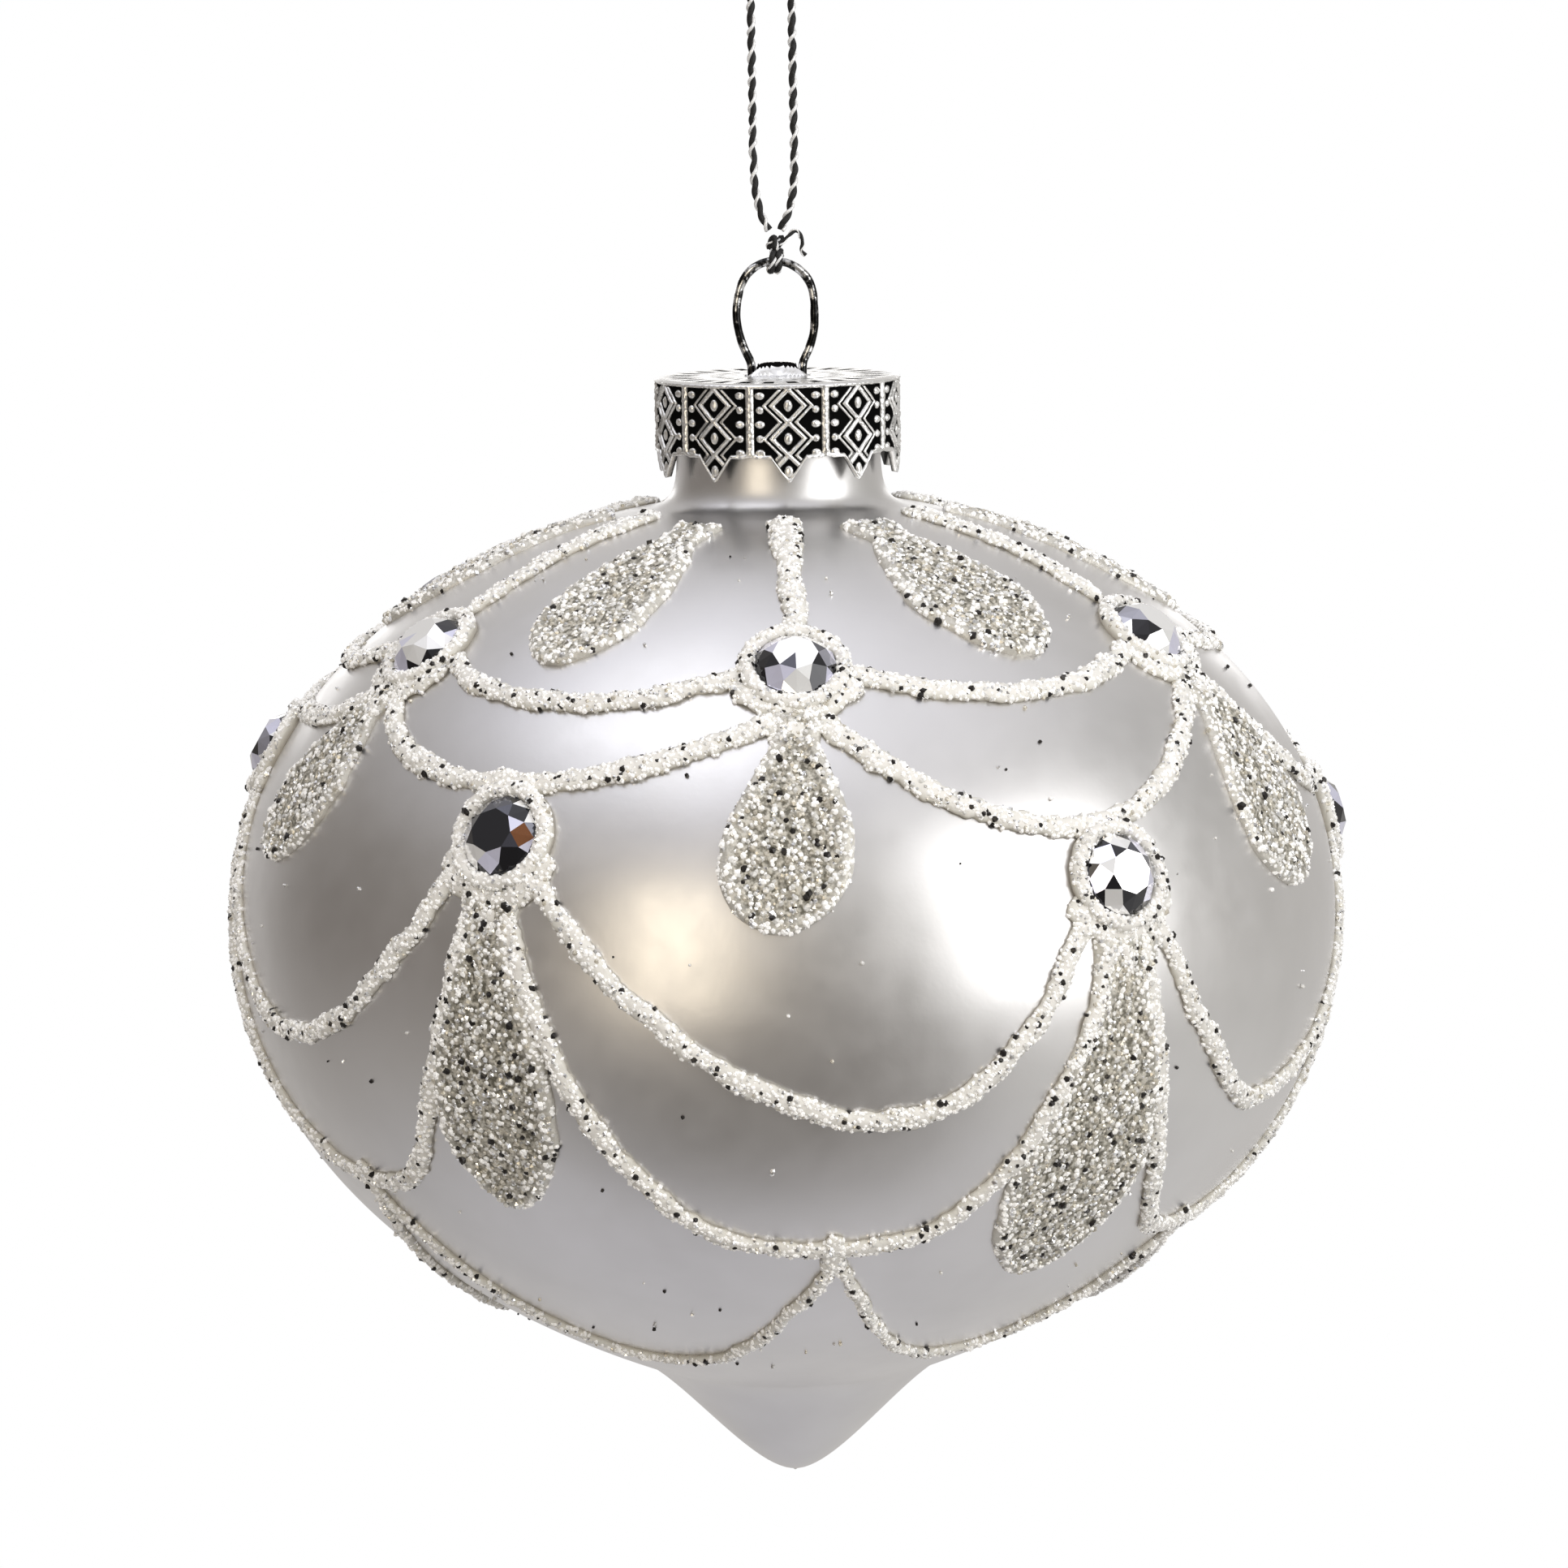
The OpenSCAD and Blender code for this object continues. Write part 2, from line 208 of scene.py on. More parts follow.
def loft(rings):
    """Points and triangles of a closed solid through rings of equal size, with a fan on each end."""
    rings = np.asarray(rings)
    rows, columns = rings.shape[:2]
    points = np.vstack([rings.reshape(-1, 3), rings[0].mean(0), rings[-1].mean(0)])
    k = np.arange(columns)
    next_k = (k + 1) % columns
    first = np.stack([np.full(columns, rows * columns), next_k, k], -1)
    start = (rows - 1) * columns
    last = np.stack([np.full(columns, rows * columns + 1), start + k, start + next_k], -1)
    return points, np.vstack([grid_triangles(rows, columns), first, last])


def join(parts):
    """One set of points and triangles, and of the lists that go with them, from several."""
    points, faces, *extras = zip(*parts)
    starts = np.cumsum([0] + [len(p) for p in points[:-1]])
    faces = np.vstack([f + start for f, start in zip(faces, starts)])
    return (np.vstack(points), faces, *[np.concatenate(e) for e in extras])


def soft_noise(shape, reach):
    """Noise over a grid, smoothed over that many cells along each axis, with a spread of one."""
    noise = rng.normal(size=shape)
    for axis, width in enumerate(reach):
        for _ in range(width):
            near = np.roll(noise, 1, axis) + np.roll(noise, -1, axis)
            noise = noise * 0.5 + near * 0.25
    return noise / max(noise.std(), 1e-9)


def wander(count, reach):
    """Soft noise along a line of that many points."""
    return soft_noise((count, 1), (reach, 0))[:, 0]


# ---- The body's outline, as [radius, height] from the tip ----
def bezier(p, steps, start=0):
    """Points along a cubic curve."""
    t = (np.arange(start, steps + 1) / steps)[:, None]
    p = np.asarray(p, float)
    return ((1 - t) ** 3 * p[0] + 3 * t * (1 - t) ** 2 * p[1]
            + 3 * t * t * (1 - t) * p[2] + t ** 3 * p[3])


WIDEST_H = 0.587 * BODY_H
FOOT_R = NECK_R + 2.1
LIP_R = CAP_R - CAP_T - 0.3
outline = np.vstack([
    bezier([[0, 0.2], [3.1, 0.2],
            [0.205 * BODY_R, 0.106 * BODY_H], [0.3 * BODY_R, 0.136 * BODY_H]], 28),
    bezier([[0.3 * BODY_R, 0.136 * BODY_H], [0.535 * BODY_R, 0.193 * BODY_H],
            [BODY_R, 0.327 * BODY_H], [BODY_R, WIDEST_H]], 60, 1),
    bezier([[BODY_R, WIDEST_H], [BODY_R, WIDEST_H + 0.225 * BODY_H],
            [0.63 * BODY_R, 0.961 * BODY_H], [FOOT_R, BODY_H]], 64, 1),
    bezier([[FOOT_R, BODY_H], [NECK_R + 0.6, BODY_H + 0.25],
            [NECK_R + 0.05, BODY_H + 1], [NECK_R, BODY_H + 3.4]], 20, 1),
])
runs = distances(outline)


def run_at(height):
    """Distance along the outline from the tip to a height."""
    return np.interp(height, outline[:, 1], runs)


def radius_at(run):
    """Radius of the body where the outline has that run."""
    return np.interp(run, runs, outline[:, 0])


def height_at(run):
    """Height of the body where the outline has that run."""
    return np.interp(run, runs, outline[:, 1])


def normal_at(run):
    """The outline's outward normal, as radial and upward parts."""
    reach = 0.6
    dr = radius_at(run + reach) - radius_at(run - reach)
    dz = height_at(run + reach) - height_at(run - reach)
    size = np.hypot(dr, dz)
    return dz / size, -dr / size


def polar(radius, turn, height):
    """Points at radii, turns in radians from the front and heights, which broadcast together."""
    radius, turn, height = np.broadcast_arrays(radius, turn, height)
    return np.stack([radius * np.sin(turn), -radius * np.cos(turn), height], -1)


def glass_point(azimuth, run, lift=0.0):
    """Points over the glass, from arrays of azimuth, run from the tip and height above the glass."""
    out, up = normal_at(run)
    return polar(radius_at(run) + lift * out, np.radians(azimuth), height_at(run) + lift * up)


def glass_normal(azimuth, run):
    """Outward normals of the glass."""
    out, up = normal_at(run)
    return polar(out, np.radians(azimuth), up)


def skewed(height, azimuth):
    """A height of the lower decoration, which sinks towards +X by a slope."""
    slope = math.tan(math.radians(ASKEW))
    return height - radius_at(run_at(height)) * np.sin(np.radians(azimuth)) * slope


def front(i):
    """Azimuth of the i-th upper crystal, counted from 0."""
    return 60.0 * i


BETWEEN_SLIPS = [2.8, 0.8, -1.2, 1.0, -0.8, -1.6]


def between(i):
    """Azimuth of the i-th middle crystal, each set a little off by hand."""
    return 60.0 * i + 30 + BETWEEN_SLIPS[i % 6]


def before(i):
    """Azimuth of the middle crystal just before the i-th upper one."""
    return between(i - 1)


def middle_h(i):
    """Height of the i-th middle crystal."""
    return skewed(MIDDLE_STONE_H, between(i))


# ---- Node materials ----
def settle(tree, node, **settings):
    """Sets the node's properties or inputs of those names, with _ for spaces, or links sockets."""
    for key, value in settings.items():
        name = key.replace("_", " ")
        if key in node.bl_rna.properties:
            setattr(node, key, value)
        elif isinstance(value, bpy.types.NodeSocket):
            tree.links.new(value, node.inputs[name])
        else:
            node.inputs[name].default_value = value


def add_node(tree, kind, **settings):
    """A node of that kind, settled."""
    node = tree.nodes.new("ShaderNode" + kind)
    settle(tree, node, **settings)
    return node


def new_material(name, **settings):
    """A Principled material with those settings, its node tree and its shader."""
    material = bpy.data.materials.new(name)
    material.use_nodes = True
    shader = material.node_tree.nodes["Principled BSDF"]
    settle(material.node_tree, shader, **settings)
    return material, material.node_tree, shader


def object_noise(tree, scale, detail=3.0, roughness=0.5):
    """Noise over the object's own coordinates, in features per metre."""
    place_in = add_node(tree, "TexCoord").outputs["Object"]
    noise = add_node(tree, "TexNoise", Vector=place_in, Scale=scale, Detail=detail,
                     Roughness=roughness)
    return noise.outputs["Fac"]


def attribute(tree, name, output="Fac"):
    """What the mesh's attribute of that name gives."""
    return add_node(tree, "Attribute", attribute_name=name).outputs[output]


def ramp(tree, source, stops):
    """A colour ramp over a value: stops are (position, (r, g, b) or a grey), from the lowest up."""
    node = add_node(tree, "ValToRGB", Fac=source)
    elements = node.color_ramp.elements
    elements[0].position = stops[0][0]
    elements[1].position = stops[-1][0]
    for position, _ in stops[1:-1]:
        elements.new(position)
    for element, (_, colour) in zip(elements, stops):
        element.color = (*np.broadcast_to(colour, 3), 1)
    return node.outputs["Color"]


def blend(tree, factor, first, second):
    """Mixes two colours by a factor."""
    mix = add_node(tree, "Mix", data_type="RGBA", Factor=factor, A=first, B=second)
    return mix.outputs["Result"]


def bump(tree, source, distance, strength=1.0):
    """Normals from a height, its distance in metres."""
    node = add_node(tree, "Bump", Height=source, Distance=distance, Strength=strength)
    return node.outputs["Normal"]


def mix_surfaces(tree, output, factor, first, second):
    """Sends a mix of two shaders to an output node of that kind."""
    mix = add_node(tree, "MixShader", Fac=factor)
    tree.links.new(first, mix.inputs[1])
    tree.links.new(second, mix.inputs[2])
    add_node(tree, output, Surface=mix.outputs["Shader"])


def lacquer_material():
    """Satin pearl lacquer on silvered glass: metallic, soft, faintly mottled."""
    material, tree, shader = new_material("pearl_lacquer", Metallic=0.97)
    colour = ramp(tree, object_noise(tree, 90, 4), [
        (0.3, (0.76, 0.75, 0.745)), (0.5, (0.80, 0.79, 0.785)), (0.7, (0.83, 0.82, 0.82))])
    satin = ramp(tree, object_noise(tree, 420, 3), [(0.3, 0.31), (0.7, 0.38)])
    grain = bump(tree, object_noise(tree, 2600, 2), 0.000004)
    settle(tree, shader, Base_Color=colour, Roughness=satin, Normal=grain)
    return material


def glue_material():
    """The white glue under the sugar glitter: creamier at its thin edge, with painted shade low on the
    bead near the glass and painted light on its top.
    """
    material, tree, shader = new_material("glitter_glue", Roughness=0.55)
    # Painted shade and light by height on the bead: darkest where it meets the glass, lightest on its
    # top.
    colour = ramp(tree, attribute(tree, "amount"), [
        (0.0, (0.4, 0.37, 0.31)), (0.4, (0.62, 0.6, 0.54)), (1.0, (0.74, 0.72, 0.68))])
    lumps = bump(tree, object_noise(tree, 2500, 3), 0.0001, 0.6)
    settle(tree, shader, Base_Color=colour, Normal=lumps)
    return material


def fill_material():
    """The champagne glitter bed inside a leaf or drop, with a whiter raised border."""
    material, tree, shader = new_material("glitter_bed", Metallic=0.35, Roughness=0.4)
    speckle = object_noise(tree, 3000, 2)
    bed = ramp(tree, speckle, [
        (0.38, (0.14, 0.13, 0.1)), (0.5, (0.34, 0.32, 0.27)), (0.62, (0.6, 0.57, 0.5))])
    colour = blend(tree, attribute(tree, "amount"), bed, (0.58, 0.56, 0.51, 1))
    settle(tree, shader, Base_Color=colour, Normal=bump(tree, speckle, 0.00015, 0.7))
    return material


def grain_material(name, colour, metallic, roughness):
    """One kind of glitter grain."""
    return new_material(name, Base_Color=(*colour, 1), Metallic=metallic, Roughness=roughness)[0]


def crystal_material():
    """A foiled crystal: each facet's colour is a painted reflection, read from its attribute, under a
    polished clear coat.
    """
    material, tree, shader = new_material(
        "foiled_crystal", Metallic=0.6, Roughness=0.07, Coat_Weight=1.0, Coat_Roughness=0.02)
    settle(tree, shader, Base_Color=attribute(tree, "painted_facet_reflection", "Color"))
    return material


def cap_material():
    """Antiqued silver: bright on the relief, black in its recesses; the same black is painted shade in
    the top's slots and along the bridge's flanks.
    """
    material, tree, shader = new_material("antiqued_silver")
    relief = attribute(tree, "amount")
    metal = ramp(tree, relief, [(0.3, 0.0), (0.55, 1.0)])
    colour = ramp(tree, relief, [
        (0.12, 0.004), (0.36, 0.015), (0.55, (0.8, 0.79, 0.77)), (0.8, (0.97, 0.97, 0.96))])
    rough = ramp(tree, object_noise(tree, 1800, 3), [(0.3, 0.22), (0.7, 0.38)])
    dents = bump(tree, object_noise(tree, 3000, 3), 0.00003, 0.6)
    settle(tree, shader, Base_Color=colour, Metallic=metal, Specular_IOR_Level=metal,
           Roughness=rough, Normal=dents)
    return material


def wire_material():
    """Near-black nickel wire, its dark colour standing in for dark reflections, with painted highlight
    streaks along it.
    """
    material, tree, shader = new_material("nickel_wire_painted_highlights", Metallic=1.0)
    # Painted highlights: mostly near-black metal for dark reflections, with bright streaks for
    # highlights.
    colour = ramp(tree, object_noise(tree, 900, 4, 0.6), [(0.4, 0.008), (0.52, 0.03), (0.6, 0.85)])
    rough = ramp(tree, object_noise(tree, 2500, 2), [(0.3, 0.1), (0.7, 0.28)])
    settle(tree, shader, Base_Color=colour, Roughness=rough)
    return material


def ply_material(name, dark, pale, roughness, metallic):
    """One ply of the thread, with fine filaments along it."""
    material, tree, shader = new_material(name, Metallic=metallic, Roughness=roughness)
    filaments = object_noise(tree, 5200, 2)
    colour = ramp(tree, filaments, [(0.35, dark), (0.65, pale)])
    settle(tree, shader, Base_Color=colour, Normal=bump(tree, filaments, 0.00004, 0.8))
    return material


LACQUER = lacquer_material()
GLUE = glue_material()
FILL = fill_material()
CRYSTAL = crystal_material()
CAP_SILVER = cap_material()
WIRE = wire_material()
# The plies' near-black and near-white are partly the thread's own dark and silver plies, partly painted
# dark reflections and painted glints.
DARK_PLY = ply_material("black_ply", 0.002, 0.012, 0.6, 0.0)
SILVER_GLINT_PLY = ply_material("silver_glint_ply", 0.75, 0.98, 0.35, 0.4)
GRAINS = [
    grain_material("sugar_grain", (0.95, 0.94, 0.92), 0.0, 0.3),
    grain_material("frost_grain", (0.72, 0.71, 0.68), 0.25, 0.25),
    grain_material("silver_grain", (0.96, 0.96, 0.95), 1.0, 0.12),
    grain_material("champagne_grain", (0.66, 0.62, 0.53), 0.6, 0.25),
    # Dark grains are partly black glitter, partly painted dark reflections of the clear grains' facets.
    grain_material("dark_grain", (0.025, 0.022, 0.02), 0.5, 0.2),
]
# The share of each kind of grain on a line, in a leaf or drop, and among the strays
LINE_MIX = [0.68, 0.13, 0.125, 0.025, 0.04]
FILL_MIX = [0.31, 0.22, 0.2, 0.23, 0.04]
STRAY_MIX = [0.1, 0.2, 0.2, 0.1, 0.4]
DARK_GRAIN = 4


# ---- Glitter grains ----
def random_turns(count):
    """Random rotation matrices."""
    q = rng.normal(size=(count, 4))
    w, x, y, z = unit(q).T
    return np.stack([
        1 - 2 * (y * y + z * z), 2 * (x * y - z * w), 2 * (x * z + y * w),
        2 * (x * y + z * w), 1 - 2 * (x * x + z * z), 2 * (y * z - x * w),
        2 * (x * z - y * w), 2 * (y * z + x * w), 1 - 2 * (x * x + y * y)], -1).reshape(-1, 3, 3)


GOLDEN = (1 + 5 ** 0.5) / 2
SIGNS = [(x, y * GOLDEN) for x in (-1, 1) for y in (-1, 1)]
GRAIN = np.array([[x, y, 0] for x, y in SIGNS] + [[0, x, y] for x, y in SIGNS]
                 + [[y, 0, x] for x, y in SIGNS], float) / math.hypot(1, GOLDEN)


def grain_faces():
    """The twenty triangles of an icosahedron, found as its closest triples and turned outwards."""
    edge = 2 / math.hypot(1, GOLDEN) + 0.01
    close = np.linalg.norm(GRAIN[:, None] - GRAIN[None], axis=2) < edge
    faces = []
    for a, b, c in itertools.combinations(range(len(GRAIN)), 3):
        if close[a, b] and close[b, c] and close[a, c]:
            turned = np.dot(np.cross(GRAIN[b] - GRAIN[a], GRAIN[c] - GRAIN[a]), GRAIN[a]) < 0
            faces.append([a, c, b] if turned else [a, b, c])
    return np.array(faces)


GRAIN_FACES = grain_faces()
# Grains to a square millimetre, and how high above the glass they start
LINE_DENSITY = 11.0
BED_DENSITY = 7.8
LOWEST_GRAIN = 0.12


def scatter(points, faces, shares, lift, density):
    """Random spots on a mesh where it stands above the glass: places, normals and shares."""
    corners = points[faces]
    cross = np.cross(corners[:, 1] - corners[:, 0], corners[:, 2] - corners[:, 0])
    area = np.linalg.norm(cross, axis=1) / 2
    area = np.where(lift[faces].mean(1) > LOWEST_GRAIN, area, 0)
    count = int(area.sum() * density)
    steps = (np.arange(count) + rng.random(count)) * area.sum() / count
    chosen = np.minimum(np.searchsorted(np.cumsum(area), steps), len(faces) - 1)
    spread = rng.random((2, count))
    a, b = np.where(spread.sum(0) > 1, 1 - spread, spread)
    weights = np.stack([1 - a - b, a, b], -1)
    spots = (corners[chosen] * weights[:, :, None]).sum(1)
    return spots, unit(cross[chosen]), (shares[faces][chosen] * weights).sum(1)


def grain_piece(name, slot, spots, normals, sizes, kinds):
    """Small faceted grains stuck on those spots, each of one kind."""
    count = len(spots)
    corners = len(GRAIN)
    shape = GRAIN * (sizes / 2)[:, None, None] * rng.uniform(0.82, 1.15, (count, corners, 1))
    turned = np.einsum("nij,nkj->nki", random_turns(count), shape)
    centres = spots + normals * (sizes * rng.uniform(0.05, 0.36, count))[:, None]
    points = (turned + centres[:, None]).reshape(-1, 3)
    faces = (GRAIN_FACES[None] + corners * np.arange(count)[:, None, None]).reshape(-1, 3)
    slots = np.repeat(kinds, len(GRAIN_FACES))
    piece = make_mesh(name, points, faces, GRAINS, smooth=False, slots=slots)
    finish_piece(piece, "bauble", slot)


def add_grains(name, part, density, slot, sizes=(0.26, 0.46)):
    """Covers a part, given as points, triangles, shares and lift, with grains.

    A share says how many of the grains at its point are of the line's mix, not the fill's.
    """
    spots, normals, share = scatter(*part, density)
    count = len(spots)
    line_kinds = rng.choice(len(GRAINS), count, p=LINE_MIX)
    fill_kinds = rng.choice(len(GRAINS), count, p=FILL_MIX)
    kinds = np.where(rng.random(count) < share, line_kinds, fill_kinds)
    grain_sizes = rng.uniform(*sizes, count) * np.where(kinds == DARK_GRAIN, 1.3, 1)
    grain_piece(name + "_grains", slot, spots, normals, grain_sizes, kinds)


# ---- Glitter lines, laid as beads along [azimuth, run] ----
BEAD_SINK = 0.3
BEAD_SIDES = 14
BEAD_STEP = 0.22


def bead(path, width, thin=1.0):
    """A rounded, lumpy bead along a path on the glass: points, triangles, a painted shade value by
    height (low near the glass) and lift.

    Its width shrinks along the path to the thin share of what it is at the start.
    """
    length = distances(glass_point(path[:, 0], path[:, 1]))
    count = max(int(length[-1] / BEAD_STEP), 8)
    at = np.linspace(0, length[-1], count)
    azimuth = np.interp(at, length, path[:, 0])
    run = np.interp(at, length, path[:, 1])
    line = glass_point(azimuth, run)
    normal = glass_normal(azimuth, run)
    across = unit(np.cross(normal, unit(np.gradient(line, axis=0))))
    from_end = np.minimum(at, length[-1] - at) / (width / 2)
    rounding = np.sqrt(np.clip(1 - (1 - np.clip(from_end, 0.02, 1)) ** 2, 0, 1))
    swell = rounding * (1 + 0.07 * wander(count, 14)) * (1 + (thin - 1) * at / length[-1])
    drift = 0.07 * wander(count, 30)
    turn = turns(BEAD_SIDES)
    lumps = 1 + 0.09 * soft_noise((count, BEAD_SIDES), (1, 1))
    side = -np.cos(turn) * width / 2 * swell[:, None] * lumps + drift[:, None]
    rise = np.sin(turn) * (LINE_H + BEAD_SINK) / 2 * rounding[:, None] * lumps
    lift = (LINE_H - BEAD_SINK) / 2 + rise
    rings = line[:, None] + across[:, None] * side[:, :, None] + normal[:, None] * lift[:, :, None]
    points, faces = loft(rings)
    lifts = np.r_[lift.ravel(), lift[0].mean(), lift[-1].mean()]
    # The third value is the painted shade by height that the glue material reads.
    return points, faces, np.clip(lifts / LINE_H, 0, 1), lifts


def garland(left, right, low, powers, lean=0.0):
    """One hanging arc between two (azimuth, height) points; its lowest spot leans from the middle.

    The powers say how steeply its left and right halves rise to their ends.
    """
    u = np.linspace(-1, 1, 161)
    lowest = (left[0] + right[0]) / 2 + lean
    azimuth = lowest + np.where(u < 0, lowest - left[0], right[0] - lowest) * u
    end = np.where(u < 0, run_at(left[1]), run_at(right[1]))
    rise = np.abs(u) ** np.where(u < 0, *powers)
    return np.stack([azimuth, run_at(low) + (end - run_at(low)) * rise], -1)


def around(azimuth, run, radius, reach):
    """A path that hugs the underside of a spot on the glass, that many degrees to each side."""
    turn = np.radians(np.linspace(-reach, reach, 30))
    azimuths = azimuth + np.degrees(radius * np.sin(turn) / radius_at(run))
    return np.stack([azimuths, run - radius * np.cos(turn)], -1)


def down(azimuth, run, start, stop, drift=0.0):
    """A path down the glass from one distance below a spot to another, drifting in azimuth."""
    t = np.linspace(0, 1, 16)
    return np.stack([azimuth + drift * t, run - start - (stop - start) * t], -1)


def node_at(i):
    """Azimuth and run of the knob where the i-th lower garland meets the base garland."""
    middle = (before(i) + between(i)) / 2 + NODE_SLIPS[i]
    return middle, run_at(skewed(LOWER_LOW_H, front(i)))


def base_end(i, slip):
    """Azimuth and height of the base garland's end at the i-th knob, which may be the next lap's."""
    lap, i = divmod(i, 6)
    return node_at(i)[0] + slip + 360 * lap, skewed(BASE_END_H, front(i))


def glue_piece(name, parts):
    """A line piece from its beads, which stands for its CAD node, and its grains."""
    points, faces, tone, lift = join(parts)
    # The tone here is the painted shade by height.
    piece = make_mesh(name + "_line", points, faces, [GLUE], values=tone)
    finish_piece(piece, "bauble", "glitter_line", name)
    add_grains(name, (points, faces, np.ones(len(points)), lift), LINE_DENSITY, "glitter_line")


# How each of the six repeats differs: in degrees, but for the powers, which garland() explains
LEANS = [6.5, -6, 4, -5, 3, -2]
NODE_SLIPS = [2.6, -7.0, 1.6, -2.0, 1.2, 5.5]
UPPER_POWERS = [(2.0, 1.5), (3.4, 1.6), (1.7, 1.9), (1.8, 1.6), (1.6, 3.4), (3.4, 1.5)]
MIDDLE_POWERS = [(1.75, 2.2), (1.7, 2.2), (1.8, 2.0), (1.7, 2.2), (1.9, 1.8), (1.75, 2.2)]
LOWER_POWERS = [(2.8, 2.7), (3.2, 2.4), (2.3, 2.0), (2.1, 2.4), (2.4, 2.2), (2.2, 3.2)]
MIDDLE_STARTS = [4.6, 3.0, 4.0, 4.4, 3.6, 4.2]


def make_lines():
    """The five rows of garlands and the six spokes."""
    six = range(6)
    glue_piece("shoulder_garland", [
        bead(garland((front(i) + 7, UPPER_STONE_H - 0.2), (front(i) + 53, UPPER_STONE_H - 0.2),
                     SHOULDER_LOW_H, (2.2, 2.2)), LINE_W) for i in six])
    glue_piece("upper_garland", [
        bead(garland((front(i) + 2.6, UPPER_END_H), (front(i) + 57.4, UPPER_END_H),
                     middle_h(i) + 3.2, UPPER_POWERS[i], 0.3 * LEANS[i]), LINE_W) for i in six])
    glue_piece("middle_garland", [
        bead(garland((before(i) + MIDDLE_STARTS[i], middle_h(i - 1) - 2.5),
                     (between(i) - 4.6, middle_h(i) - 2.3),
                     skewed(MIDDLE_LOW_H, front(i)), MIDDLE_POWERS[i], LEANS[i]),
             MIDDLE_LINE_W) for i in six])
    glue_piece("lower_garland", [
        bead(garland((before(i) + 1.6, middle_h(i - 1) - 4), (between(i) - 1.8, middle_h(i) - 4),
                     skewed(LOWER_LOW_H, front(i)), LOWER_POWERS[i], NODE_SLIPS[i]),
             LOW_LINE_W) for i in six]
        + [bead(down(*node_at(i), -1.4, 2.6, 0.4), 1.5) for i in six])
    glue_piece("base_garland", [
        bead(garland(base_end(i, 0.8), base_end(i + 1, -0.5), BASE_LOW_H, (2.6, 2.6)),
             BASE_LINE_W) for i in six])
    top = run_at(BODY_H - 0.1)
    low = run_at(UPPER_STONE_H) + STONE_R + BEZEL_W
    for i in six:
        glue_piece(f"spoke_{i + 1}", [bead(down(front(i), top, 0, top - low), 2.3, 0.65)])


# ---- Leaves and drops ----
PAD_SINK = 0.35


def pad(azimuth, top, bottom, width, neck, sway=0.0, belly=1.75):
    """A flat drop down the glass, between two runs: a raised border round a lower bed of glitter.

    It swings by its sway, in degrees, from its narrow top to its fat bottom, which is lower down
    for a larger belly. Its neck is the width of its top, as a share.
    """
    rows = 72
    columns = 29
    t = np.linspace(0.004, 0.994, rows)
    run = top + (bottom - top) * t
    shape = np.maximum(neck * (1 - t), np.sin(np.pi * t ** belly) ** 0.56)
    half = shape * width / 2 * (1 + 0.025 * wander(rows, 10))
    turn = np.degrees(half / radius_at(run))
    q = np.sin(np.linspace(-1, 1, columns) * np.pi / 2)
    inside = (1 - np.abs(q))[None] * half[:, None]
    from_ends = np.minimum(t, 1 - t) * abs(bottom - top)
    inside = np.minimum(inside, from_ends[:, None] + 0.1)
    edge = np.clip(inside / 0.45, 0, 1)
    border = np.clip(1 - np.abs(inside - 0.75) / 0.75, 0, 1)
    lift = LINE_H * np.sqrt(1 - (1 - edge) ** 2) * (0.68 + 0.36 * border)
    lift = lift + 0.05 * edge * soft_noise((rows, columns), (1, 1))
    under = np.array([0.95, 0.0, -0.95])
    across = np.concatenate([np.broadcast_to(q, (rows, columns)), np.broadcast_to(under, (rows, 3))], 1)
    lift = np.concatenate([lift, np.full((rows, 3), -PAD_SINK)], 1)
    whiter = np.concatenate([np.clip(1.25 - inside / 1.1, 0, 1), np.ones((rows, 3))], 1)
    middle = azimuth + sway * t
    rings = glass_point(middle[:, None] + across * turn[:, None], run[:, None], lift)
    points, faces = loft(rings)
    return points, faces, np.r_[whiter.ravel(), [1, 1]], np.r_[lift.ravel(), [0, 0]]


def pad_piece(name, *shape):
    """One leaf or drop, which stands for its CAD node, and its grains."""
    points, faces, whiter, lift = pad(*shape)
    piece = make_mesh(name + "_bed", points, faces, [FILL], values=whiter)
    finish_piece(piece, "bauble", "glitter_fill", name)
    add_grains(name, (points, faces, whiter, lift), BED_DENSITY, "glitter_fill", (0.3, 0.56))


# The six of each kind: tops and sways in degrees, widths in millimetres, the upper drops' lows as
# shares of the body's height, and how far each lower drop reaches past its usual end
LEAF_TOPS = [-4.6, -2, 1, -1, 2, 2.2]
LEAF_SWAYS = [6.0, 3, -3, 2, -4, -5.5]
LEAF_WIDTHS = [9.6, 8.0, 8.6, 7.8, 8.4, 8.4]
DROP_SWAYS = [-2.4, 1.5, -1, 2, -1.5, -8.0]
DROP_WIDTHS = [8.9, 10.6, 8.6, 9.2, 8.8, 8.8]
DROP_LOWS = [0.665, 0.65, 0.67, 0.66, 0.668, 0.685]
LOW_SWAYS = [-4.6, 3, -2, 4, -3, -0.5]
LOW_WIDTHS = [10.8, 9.2, 9.6, 8.8, 9.4, 9.3]
LOW_REACHES = [1.6, 0, 0.8, -0.5, 0.5, -1.4]


